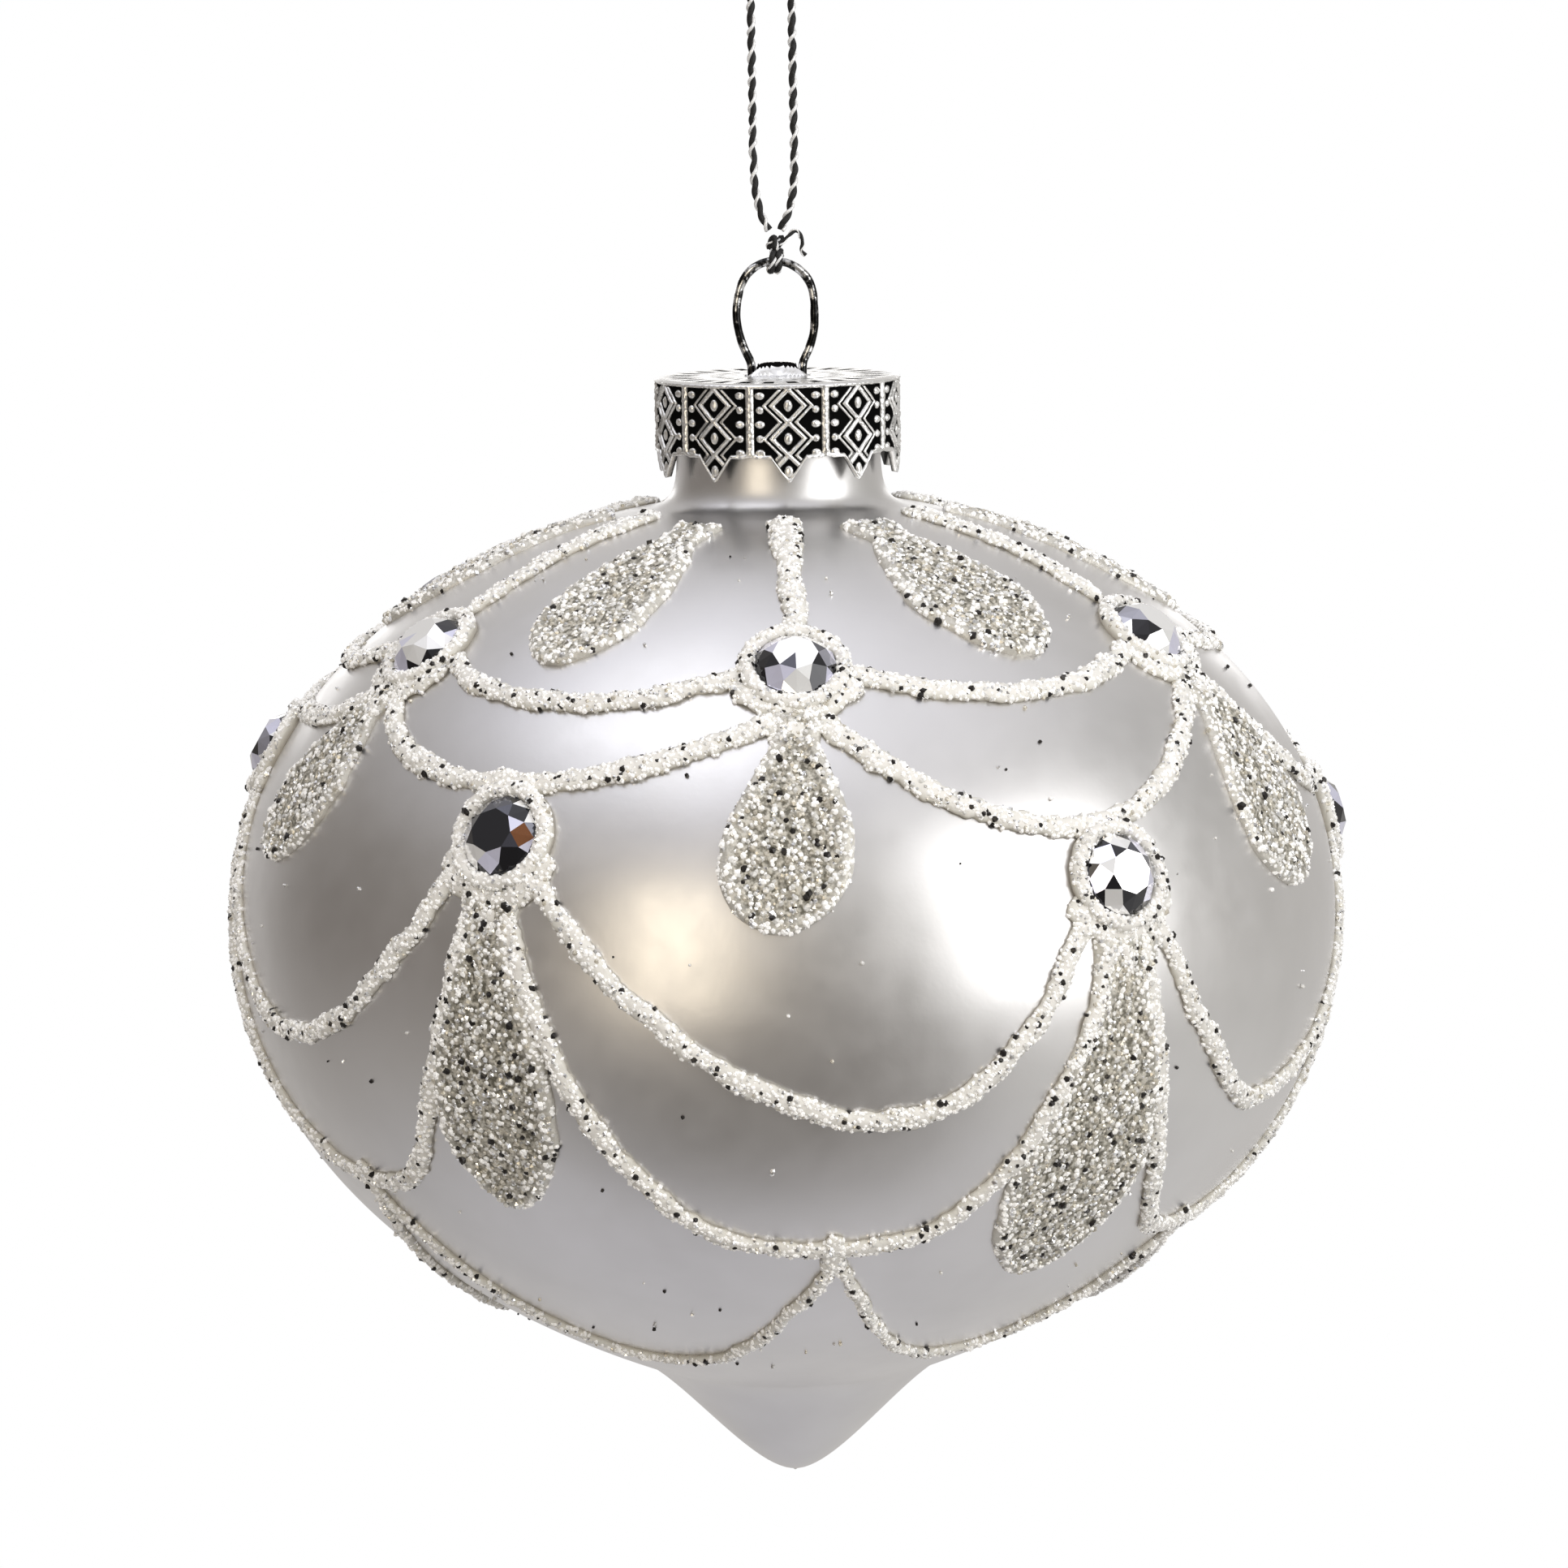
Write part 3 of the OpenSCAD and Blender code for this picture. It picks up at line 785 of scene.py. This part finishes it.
def make_pads():
    """The leaves on the shoulder and the drops under both rows of crystals."""
    for i in range(6):
        pad_piece(f"upper_leaf_{i + 1}", between(i) + LEAF_TOPS[i], run_at(BODY_H - 0.5),
                  run_at(LEAF_LOW_H), LEAF_WIDTHS[i], 0.42, LEAF_SWAYS[i])
        pad_piece(f"upper_drop_{i + 1}", front(i), run_at(DROP_TOP_H),
                  run_at(DROP_LOWS[i] * BODY_H), DROP_WIDTHS[i], 0.42, DROP_SWAYS[i])
        low = skewed(DROP_LOW_H, between(i)) - LOW_REACHES[i]
        pad_piece(f"lower_drop_{i + 1}", between(i), run_at(middle_h(i) - 3.6), run_at(low),
                  LOW_WIDTHS[i], 0.5, LOW_SWAYS[i], 1.5)


# ---- Crystals and their bezels ----
def stand_on_glass(points, azimuth, run):
    """Puts points with Z along the glass's normal and Y up the body where the outline has that run."""
    normal = glass_normal(azimuth, run)
    side = np.array([math.cos(math.radians(azimuth)), math.sin(math.radians(azimuth)), 0])
    axes = np.stack([side, np.cross(normal, side), normal])
    return np.asarray(points) @ axes + glass_point(azimuth, run)


# Painted reflection colours for the crystal facets: black and slate for dark reflections, grey, lilac
# and white for bright ones, orange for a glint.
FACET_REFLECTIONS = np.array([
    (0.004, 0.004, 0.008), (0.06, 0.062, 0.085), (0.36, 0.36, 0.42),
    (0.78, 0.78, 0.95), (1.0, 1.0, 1.0), (0.22, 0.075, 0.02),
])
BLACK, SLATE, GREY, LILAC, BRIGHT, ORANGE = range(6)
# Painted reflections: the tone of a crystal's table, then of its crown facets in turn, and the pattern
# of each crystal
REFLECTION_PATTERNS = [
    [BRIGHT, GREY, BRIGHT, BRIGHT, LILAC, BLACK, LILAC, BRIGHT, BLACK],
    [BLACK, ORANGE, BLACK, SLATE, BLACK, GREY, BRIGHT, LILAC, BLACK],
    [BRIGHT, GREY, LILAC, BRIGHT, LILAC, LILAC, BRIGHT, BLACK, LILAC],
    [BRIGHT, BRIGHT, BLACK, BLACK, GREY, BLACK, BRIGHT, LILAC, BRIGHT],
]
UPPER_REFLECTION_PATTERNS = [0, 3, 2, 1, 0, 3]
MIDDLE_REFLECTION_PATTERNS = [2, 0, 1, 3, 2, 1]


def circle(count, radius, height, start=0.0):
    """Points round a circle at a height."""
    angle = turns(count, start)
    return np.stack([radius * np.cos(angle), radius * np.sin(angle), np.full(count, height)], -1)


def crystal(azimuth, run, reflection_pattern):
    """A brilliant-cut crown on a girdle: points, triangles and a painted reflection colour for each
    facet.
    """
    girdle_h = 0.35 * STONE_H
    points = np.vstack([
        circle(16, STONE_R, -0.25), circle(16, STONE_R, girdle_h),
        circle(8, 0.82 * STONE_R, 0.68 * STONE_H, 22.5), circle(8, 0.56 * STONE_R, STONE_H),
        [[0, 0, STONE_H]], [[0, 0, -0.25]]])
    girdle, middle, table, centre, bottom = 16, 32, 40, 48, 49
    faces = []
    reflection_tones = []

    def facet(tone, *triangles):
        """Adds one flat facet of one painted reflection tone."""
        faces.extend(triangles)
        reflection_tones.extend([tone] * len(triangles))

    def near(tone):
        """The painted reflection tone of a small facet beside one of that tone."""
        return rng.choice([tone, BLACK, BRIGHT, LILAC, SLATE], p=[0.34, 0.22, 0.22, 0.14, 0.08])

    for k in range(16):
        n = (k + 1) % 16
        facet(SLATE, [k, n, girdle + n], [k, girdle + n, girdle + k])
        facet(BLACK, [bottom, n, k])
    for k in range(8):
        n = (k + 1) % 8
        tone = reflection_pattern[1 + k]
        facet(near(tone), [girdle + 2 * k, girdle + 2 * k + 1, middle + k])
        facet(near(BLACK), [girdle + 2 * k + 1, girdle + (2 * k + 2) % 16, middle + k])
        facet(tone, [table + k, middle + (k - 1) % 8, girdle + 2 * k],
              [table + k, girdle + 2 * k, middle + k])
        facet(near(tone), [table + k, middle + k, table + n])
        facet(reflection_pattern[0] if k % 5 else near(reflection_pattern[0]), [centre, table + k, table + n])
    return stand_on_glass(points, azimuth, run), np.array(faces), FACET_REFLECTIONS[reflection_tones]


def bezel(azimuth, run):
    """The lumpy ring of glitter glue round a crystal: points, triangles, a painted shade value by
    height and lift.
    """
    rows = 72
    columns = 12
    turn = turns(rows)[:, None]
    section = turns(columns)
    lumps = 1 + 0.07 * soft_noise((rows, columns), (2, 1))
    radius = STONE_R + 0.56 * BEZEL_W + 0.6 * BEZEL_W * np.cos(section) * lumps
    radius = np.maximum(radius, STONE_R - 0.12)
    height = 0.2 + 0.68 * BEZEL_W * np.sin(section) * lumps
    local = np.stack([radius * np.cos(turn), radius * np.sin(turn), height], -1).reshape(-1, 3)
    lift = height.ravel() - 0.05
    return (stand_on_glass(local, azimuth, run), grid_triangles(rows, columns, True),
            np.clip(lift / 0.6, 0, 1), lift)


def make_stones():
    """Both rows of crystals with their bezels, and the glue that gathers below each."""
    hug_r = STONE_R + 1.05 * BEZEL_W
    for i in range(6):
        upper = ("upper", front(i), UPPER_STONE_H, UPPER_REFLECTION_PATTERNS[i])
        middle = ("middle", between(i), middle_h(i), MIDDLE_REFLECTION_PATTERNS[i])
        for row, azimuth, height, reflection_pattern in (upper, middle):
            run = run_at(height)
            # Each facet carries a painted reflection colour.
            points, faces, reflection_tints = crystal(azimuth, run, REFLECTION_PATTERNS[reflection_pattern])
            stone = make_mesh(f"{row}_crystal_{i + 1}", points, faces, [CRYSTAL],
                              smooth=False, reflection_tints=reflection_tints)
            finish_piece(stone, "bauble", "crystal", f"{row}_stone_{i + 1}")
            glue_piece(f"{row}_bezel_{i + 1}", [
                bezel(azimuth, run), bead(around(azimuth, run, hug_r, 75), 2.1),
                bead(down(azimuth, run, 3.5, 6.8), 3.4, 0.8)])


# ---- Glass ----
def make_glass():
    """The blown body: the outline, the bead under the cap, the rim and the inner wall."""
    lip = [[NECK_R, RIM_H - 2.4], [LIP_R - 0.25, RIM_H - 1.9], [LIP_R, RIM_H - 1.5],
           [LIP_R, RIM_H - 0.4], [LIP_R - 0.12, RIM_H - 0.1], [LIP_R - 0.4, RIM_H]]
    out, up = normal_at(runs)
    inner = outline - GLASS_T * np.stack([out, up], -1)
    hollow_h = 2.2 * GLASS_T
    inner = inner[inner[:, 1] > hollow_h][::-2]
    inner = inner[inner[:, 0] > 0.05]
    throat = [[NECK_R - GLASS_T + 0.2, RIM_H], [NECK_R - GLASS_T, RIM_H - 0.3]]
    profile = np.vstack([outline[1:], lip, throat, inner])
    points, faces = loft(polar(profile[:, :1], turns(288), profile[:, 1:]))
    points[-2] = [0, 0, 0]
    points[-1] = [0, 0, hollow_h]
    glass = make_mesh("pearl_glass", points, faces, [LACQUER])
    finish_piece(glass, "bauble", "lacquered_glass", "glass_body")


def make_strays():
    """Stray grains of glitter that fell on the lacquer."""
    count = 320
    azimuth = rng.uniform(-180, 180, count)
    run = rng.uniform(run_at(12), run_at(BODY_H - 1), count)
    kinds = rng.choice(len(GRAINS), count, p=STRAY_MIX)
    sizes = rng.uniform(0.15, 0.38, count)
    grain_piece("stray_glitter", "glitter_line", glass_point(azimuth, run),
                glass_normal(azimuth, run), sizes, kinds)


# ---- Cap ----
PANELS = 10
PANEL_TURN = 21
PITCH = 2 * math.pi * CAP_R / PANELS
DIAMOND_W = 2.3
DIAMOND_H = 2.3
SKIRT_H = 5.0
SCALLOP_H = 1.8
RELIEF = 0.24


def edge_drop(u):
    """How far the scalloped edge lies below the skirt: u runs from -0.5 to 0.5 over a panel."""
    lip = 0.15
    slant = np.clip((0.23 - np.abs(u)) / 0.215, 0, 1)
    return lip + (SCALLOP_H - lip) * slant - lip * np.clip((np.abs(u) - 0.4) / 0.1, 0, 1)


def stroke(distance, width):
    """A rounded raised line where a distance is small."""
    return np.sqrt(np.clip(1 - (distance / (width / 2)) ** 2, 0, 1))


def dot(x, y, cx, cy, rx, ry):
    """A rounded raised dot."""
    return np.sqrt(np.clip(1 - ((x - cx) / rx) ** 2 - ((y - cy) / ry) ** 2, 0, 1))


def panel_relief(x, y, to_edge, odd):
    """The stamped pattern over one panel: x across it and y down from the top, in millimetres."""
    phase = (y - 0.3) / DIAMOND_H
    zigzag = np.abs(phase - np.floor(phase) - 0.5) * 2
    half = DIAMOND_W / 2 * (1 - zigzag)
    shown = (y > 0.3) & (to_edge > 0.35)
    echo = stroke(np.abs(np.abs(x) - (half + 0.55)) * 0.72, 0.24) * shown * (0.7 + 0.2 * odd)
    raised = [stroke(np.abs(np.abs(x) - half) * 0.72, 0.36) * shown, echo]
    raised += [dot(x, y, 0, 0.3 + DIAMOND_H * (k + 0.5), 0.33, 0.46) for k in range(3)]
    for k in range(5):
        size = 0.3 if k % 2 else 0.38
        column = dot(np.abs(x), y, PITCH / 2 - 0.72, 0.75 + 1.0 * k, size, 0.3)
        raised.append(column * (to_edge > 0.3))
    raised.append(1.1 * stroke(PITCH / 2 - np.abs(x), 0.62) * (y > 0.12))
    raised += [stroke(to_edge - 0.12, 0.34), stroke(y - 0.1, 0.36)]
    return np.max(raised, axis=0)


def make_cap():
    """The stamped cap: a scalloped skirt in relief and an embossed top with a raised bridge."""
    segments = PANELS * 66
    angle = np.arange(segments) * 360 / segments
    azimuth = np.radians(angle)
    panels = (angle - PANEL_TURN) * PANELS / 360
    u = panels % 1 - 0.5
    depth = SKIRT_H + edge_drop(u)
    y = np.linspace(0, 1, 84)[:, None] * depth
    relief = panel_relief(u * PITCH, y, depth - y, np.floor(panels) % 2)
    worn = 1 + 0.08 * soft_noise(y.shape, (2, 2))
    skirt_r = CAP_R + RELIEF * (relief * worn - 0.35)
    skirt_r[0] = CAP_R - 0.06

    top_radius = np.linspace(0.02, 0.985, 46)[:, None] * CAP_R * np.ones(segments)
    tx = top_radius * np.sin(azimuth)
    ty = top_radius * np.cos(azimuth)
    petals = np.abs(((angle * 26 / 360) % 1) - 0.5)[None]
    outer = np.clip(1 - np.abs(top_radius - 0.8 * CAP_R) / 1.3, 0, 1) ** 0.5
    top_relief = 1 - 0.95 * outer * (petals < 0.24)
    inner = np.clip(1 - np.abs(top_radius - 0.5 * CAP_R) / 0.55, 0, 1) ** 0.5
    top_relief = top_relief * (1 - 0.75 * inner * (petals > 0.3))
    bridge = np.clip(1 - (tx / 2.1) ** 4, 0, 1) * np.clip(1 - (ty / 1.3) ** 4, 0, 1)
    slot = (np.abs(np.abs(tx) - 1.82) < 0.45) & (np.abs(ty) < 0.95)
    top_z = CAP_TOP - 0.04 + 0.04 * top_relief + 1.0 * bridge - 1.1 * slot
    top_z[-1] = CAP_TOP - 0.05
    # Painted shade: the slots and two bands along the bridge's flanks are set black.
    bridge_flank_shade = (np.abs(np.abs(ty) - 0.74) < 0.24) & (np.abs(tx) < 1.5)
    top_tone = np.where(slot | bridge_flank_shade, 0, np.clip(top_relief, 0, 1))
    inside_r = CAP_R - CAP_T
    rings = np.concatenate([
        polar(top_radius, azimuth, top_z), polar(skirt_r, azimuth, CAP_TOP - 0.08 - y),
        polar(inside_r, azimuth, (CAP_TOP - depth)[None]),
        polar(inside_r, azimuth[None], CAP_TOP - CAP_T - 0.1),
        polar(0.02, azimuth[None], CAP_TOP - CAP_T - 0.9)])
    inner_tone = np.full((3, segments), 0.35)
    tone = np.concatenate([top_tone, relief, inner_tone])
    points, faces = loft(rings)
    cap = make_mesh("stamped_cap", points, faces, [CAP_SILVER], values=np.r_[tone.ravel(), [1, 0.3]])
    finish_piece(cap, "cap", "stamped_metal", "crown_cap")


# ---- Wire ring ----
def arc(centre, radius, start, stop, steps):
    """Points along an arc in the XZ plane."""
    angle = np.radians(np.linspace(start, stop, steps + 1))
    return np.stack([centre[0] + radius * np.cos(angle), centre[1] + radius * np.sin(angle)], -1)


def axes_along(path):
    """Two directions square to a path and to each other, at each of its points."""
    along = unit(np.gradient(path, axis=0))
    across = unit(np.cross([0.0, 1.0, 0.0], along))
    return across, np.cross(along, across)


def tube(path, radii, sides):
    """Points and triangles of a round tube along a path, with a radius at each of its points."""
    across, up = axes_along(path)
    turn = turns(sides)[:, None]
    section = across[:, None] * np.cos(turn) + up[:, None] * np.sin(turn)
    return loft(path[:, None] + section * radii[:, None, None])


def even(path, spacing):
    """The same path with points an even distance apart."""
    length = distances(path)
    at = np.linspace(0, length[-1], max(int(length[-1] / spacing), 4))
    return np.stack([np.interp(at, length, path[:, k]) for k in range(3)], -1)


RING_TOP = CAP_TOP + 8.4
TOP_R = 2.7
SIDE_R = 7.0
LEG_X = 1.82
LEG_SPLAY = 22


def ring_path():
    """The ring's right half from the leg's tip up to the top, then the left half."""
    side_from = 12
    top_centre = np.array([0, RING_TOP - WIRE_R - TOP_R])
    side = np.radians(side_from)
    side_centre = top_centre - (SIDE_R - TOP_R) * np.array([math.cos(side), math.sin(side)])
    side_to = math.degrees(math.acos((LEG_X + 0.18 - side_centre[0]) / SIDE_R))
    foot_r = 1.6
    turn = math.radians(side_to)
    foot_centre = side_centre + (SIDE_R + foot_r) * np.array([math.cos(turn), -math.sin(turn)])
    bend_r = 3
    bend_centre = np.array([foot_centre[0] - foot_r + bend_r, CAP_TOP - 1.4])
    splay = math.radians(LEG_SPLAY)
    start = bend_centre - bend_r * np.array([math.cos(splay), math.sin(splay)])
    leg = np.array([math.sin(splay), -math.cos(splay)])
    half = np.vstack([
        [start + 10.4 * leg, start + 4 * leg], arc(bend_centre, bend_r, 180 + LEG_SPLAY, 180, 8),
        arc(foot_centre, foot_r, 180, 180 - side_to, 8),
        arc(side_centre, SIDE_R, -side_to, side_from, 24),
        arc(top_centre, TOP_R, side_from + 6, 90, 14)])
    whole = np.vstack([half, (half * [-1, 1])[-2::-1]])
    return np.stack([whole[:, 0], np.zeros(len(whole)), whole[:, 1]], -1)


def make_ring():
    """The wire, slightly uneven where it was bent by hand."""
    path = even(ring_path(), 0.18)
    count = len(path)
    above = np.clip((path[:, 2] - CAP_TOP - 1) / 3, 0, 1)
    path[:, 0] += 0.05 * wander(count, 40) * above
    path[:, 1] += 0.04 * wander(count, 40) * above
    points, faces = tube(path, WIRE_R * (1 + 0.03 * wander(count, 3)), 16)
    ring = make_mesh("wire_ring", points, faces, [WIRE])
    finish_piece(ring, "ring", "ring_wire", "hanger_ring")


# ---- Thread and knot ----
# The loop from the knot up one side to the top of the hook, with heights from the frame's origin
THREAD_RISE = [
    [-0.42, 0, -18.88], [-0.9, 0, -17.9], [-1.25, 0, -16.6], [-1.42, 0, -15], [-1.46, 0.04, -12],
    [-1.45, -0.04, -9], [-1.44, 0.03, -6], [-1.45, 0, -3], [-1.45, 0, -1.12], [-1.26, 0, -0.4],
    [-0.75, 0, 0.12], [0, 0, 0.33],
]


def smooth_path(points, steps):
    """A path through the points, eased between them."""
    p = np.asarray(points, float)
    n = len(p) - 1
    path = []
    for i in range(n):
        a, b, c, d = p[max(i - 1, 0)], p[i], p[i + 1], p[min(i + 2, n)]
        for k in range(steps):
            t = k / steps
            path.append(0.5 * (2 * b + t * (c - a) + t * t * (2 * a - 5 * b + 4 * c - d)
                               + t ** 3 * (3 * b - a - 3 * c + d)))
    return np.array(path + [p[n]])


def twisted(path, plies, size=1.0):
    """Plies wound about a path: each is (ply radius, offset, pitch, phase, material index)."""
    fine = even(path, 0.09)
    count = len(fine)
    length = np.arange(count) * np.linalg.norm(fine[1] - fine[0])
    across, up = axes_along(fine)
    parts = []
    for radius, offset, pitch, phase, material in plies:
        turn = (2 * math.pi * length / pitch + phase + 0.35 * wander(count, 60))[:, None]
        ply = fine + offset * size * (across * np.cos(turn) + up * np.sin(turn))
        points, faces = tube(ply, radius * size * (1 + 0.06 * wander(count, 8)), 10)
        parts.append((points, faces, np.full(len(faces), material)))
    return join(parts)


THREAD_PLIES = [(0.2, 0.1, 1.75, 0.0, 0), (0.12, 0.2, 1.75, math.pi, 1)]
KNOT_PLIES = [(0.2, 0.08, 1.5, 0.0, 0), (0.09, 0.2, 1.5, math.pi, 1)]


def make_thread():
    """The thread's loop, from the knot over the hook and back to the knot."""
    rise = np.array(THREAD_RISE, float)
    fall = (rise * [-1, -1, 1])[-2::-1]
    path = smooth_path(np.vstack([rise, fall]), 8)
    points, faces, slots = twisted(path - [0, 0, TIP_Z], THREAD_PLIES)
    thread = make_mesh("thread_loop", points, faces, [DARK_PLY, SILVER_GLINT_PLY], slots=slots)
    finish_piece(thread, "thread", "metallic_thread", "hanging_thread")
    return thread, path * MM


def make_knot():
    """Two turns round the ring's wire, an overhand knot above them and a short loose end."""
    wire_h = RING_TOP - WIRE_R
    turn_r = WIRE_R + 0.06 + THREAD_D / 2
    t = np.linspace(0, 1, 90)
    angle = 2 * math.pi * (1.9 * t + 0.3)
    wrap = np.stack([-0.42 + 0.84 * t, turn_r * np.sin(angle), wire_h + turn_r * np.cos(angle)], -1)
    s = np.linspace(0, 2 * math.pi, 80)
    bow = np.stack([0.36 * np.sin(s) + 0.2 * np.sin(2 * s), 0.36 * np.cos(s) - 0.1 * np.cos(2 * s),
                    wire_h + turn_r + 0.56 + 0.42 * np.sin(2 * s)], -1)
    tail = [[0.2, 0, 1.0], [0.7, -0.1, 1.5], [1.35, -0.1, 2.1], [1.75, 0, 1.9], [1.95, 0.1, 1.2],
            [1.9, 0.1, 0.7], [2.15, 0.1, 0.35]]
    tail = smooth_path(tail, 8) + [0, 0, wire_h]
    points, faces, slots = join([
        twisted(wrap, KNOT_PLIES), twisted(bow, KNOT_PLIES, 0.85), twisted(tail, KNOT_PLIES, 0.62)])
    knot = make_mesh("tied_knot", points, faces, [DARK_PLY, SILVER_GLINT_PLY], slots=slots)
    return finish_piece(knot, "knot", "metallic_thread", "thread_knot")


thread, thread_path = make_thread()
knot = make_knot()

make_glass()
make_strays()
make_lines()
make_pads()
make_stones()
make_cap()
make_ring()


# ---- Stage and light ----
def make_floor():
    """A pale floor well below the ornament, clear to all but a camera above it."""
    reach = 1500
    corners = [[x * reach, y * reach, -190] for x, y in ((-1, -1), (1, -1), (1, 1), (-1, 1))]
    material = bpy.data.materials.new("pale_floor")
    material.use_nodes = True
    tree = material.node_tree
    tree.nodes.clear()
    pale = add_node(tree, "Emission", Color=(1, 1, 1, 1), Strength=1.0)
    clear = add_node(tree, "BsdfTransparent")
    shown = add_node(tree, "Math", operation="SUBTRACT", use_clamp=True)
    camera_ray = add_node(tree, "LightPath").outputs["Is Camera Ray"]
    underneath = add_node(tree, "NewGeometry").outputs["Backfacing"]
    tree.links.new(camera_ray, shown.inputs[0])
    tree.links.new(underneath, shown.inputs[1])
    mix_surfaces(tree, "OutputMaterial", shown.outputs["Value"],
                 clear.outputs["BSDF"], pale.outputs["Emission"])
    make_mesh("floor", corners, [[0, 1, 2, 3]], [material])


def make_world():
    """Soft surroundings, white to the camera. Reflections find them pale above and below, dark on
    the left and low in front, and mid grey on the right."""
    world = bpy.data.worlds.new("studio")
    scene.world = world
    world.use_nodes = True
    tree = world.node_tree
    tree.nodes.clear()
    direction = add_node(tree, "TexCoord").outputs["Generated"]
    split = add_node(tree, "SeparateXYZ", Vector=direction)

    def spread(source, low, high, ease="SMOOTHSTEP"):
        """A value carried from 0 to 1 between two limits."""
        node = add_node(tree, "MapRange", interpolation_type=ease, Value=source,
                        From_Min=low, From_Max=high)
        return node.outputs["Result"]

    height = spread(split.outputs["Z"], -1.0, 1.0, "LINEAR")
    left = ramp(tree, height, [
        (0.0, (0.56, 0.55, 0.58)), (0.12, (0.50, 0.49, 0.50)), (0.28, (0.35, 0.33, 0.31)),
        (0.5, (0.18, 0.16, 0.145)), (0.68, (0.24, 0.22, 0.20)), (0.84, (0.5, 0.49, 0.5)),
        (0.95, (0.9, 0.9, 0.98)), (1.0, (1.05, 1.05, 1.12))])
    right = ramp(tree, height, [
        (0.0, (0.62, 0.61, 0.62)), (0.25, (0.62, 0.61, 0.59)), (0.5, (0.48, 0.465, 0.44)),
        (0.68, (0.44, 0.43, 0.41)), (0.85, (0.55, 0.54, 0.53)), (0.96, (0.82, 0.81, 0.83)),
        (1.0, (0.95, 0.95, 1.0))])
    colour = blend(tree, spread(split.outputs["X"], -0.7, 0.75), left, right)
    toward = add_node(tree, "VectorMath", operation="DOT_PRODUCT")
    toward.inputs[1].default_value = Vector((-0.1, -0.84, -0.53)).normalized()
    tree.links.new(direction, toward.inputs[0])
    low_front = spread(toward.outputs["Value"], 0.6, 0.97)
    colour = blend(tree, low_front, colour, (0.2, 0.185, 0.17, 1))
    behind = spread(split.outputs["Y"], 0.45, 0.95)
    colour = blend(tree, behind, colour, (0.62, 0.6, 0.58, 1))
    glow = add_node(tree, "Background", Color=colour, Strength=1.0)
    white = add_node(tree, "Background", Color=(1, 1, 1, 1), Strength=1.0)
    camera_ray = add_node(tree, "LightPath").outputs["Is Camera Ray"]
    mix_surfaces(tree, "OutputWorld", camera_ray,
                 glow.outputs["Background"], white.outputs["Background"])


def softbox(name, azimuth, elevation, span, radiance, colour):
    """A rectangular area light aimed at the middle of the body, which sees it span those degrees."""
    distance = 0.9
    data = bpy.data.lights.new(name, "AREA")
    data.shape = "RECTANGLE"
    data.size = 2 * distance * math.tan(math.radians(span[0]) / 2)
    data.size_y = 2 * distance * math.tan(math.radians(span[1]) / 2)
    data.energy = radiance * math.pi * data.size * data.size_y
    data.color = colour
    light = bpy.data.objects.new(name, data)
    a = math.radians(azimuth)
    e = math.radians(elevation)
    target = Vector((0, 0, (0.55 * BODY_H + TIP_Z) * MM))
    away = Vector((math.sin(a) * math.cos(e), -math.cos(a) * math.cos(e), math.sin(e)))
    light.location = target + away * distance
    light.rotation_mode = "QUATERNION"
    light.rotation_quaternion = away.to_track_quat("Z", "Y")
    light.visible_camera = False
    scene.collection.objects.link(light)
    return light


make_world()
make_floor()
softbox("warm_softbox", -24, 10.5, (21, 38), 1.85, (1.0, 0.885, 0.7))
softbox("white_softbox", 54, 16.5, (40, 47), 2.6, (1.0, 1.0, 1.0))
softbox("overhead_softbox", -60, 72, (34, 30), 0.8, (0.95, 0.97, 1.0))
softbox("back_softbox", 180, 7, (50, 8), 1.9, (1.0, 1.0, 1.0))
fill = softbox("glitter_fill_light", -8, 32, (70, 50), 1.1, (1.0, 1.0, 1.0))
fill.visible_glossy = False
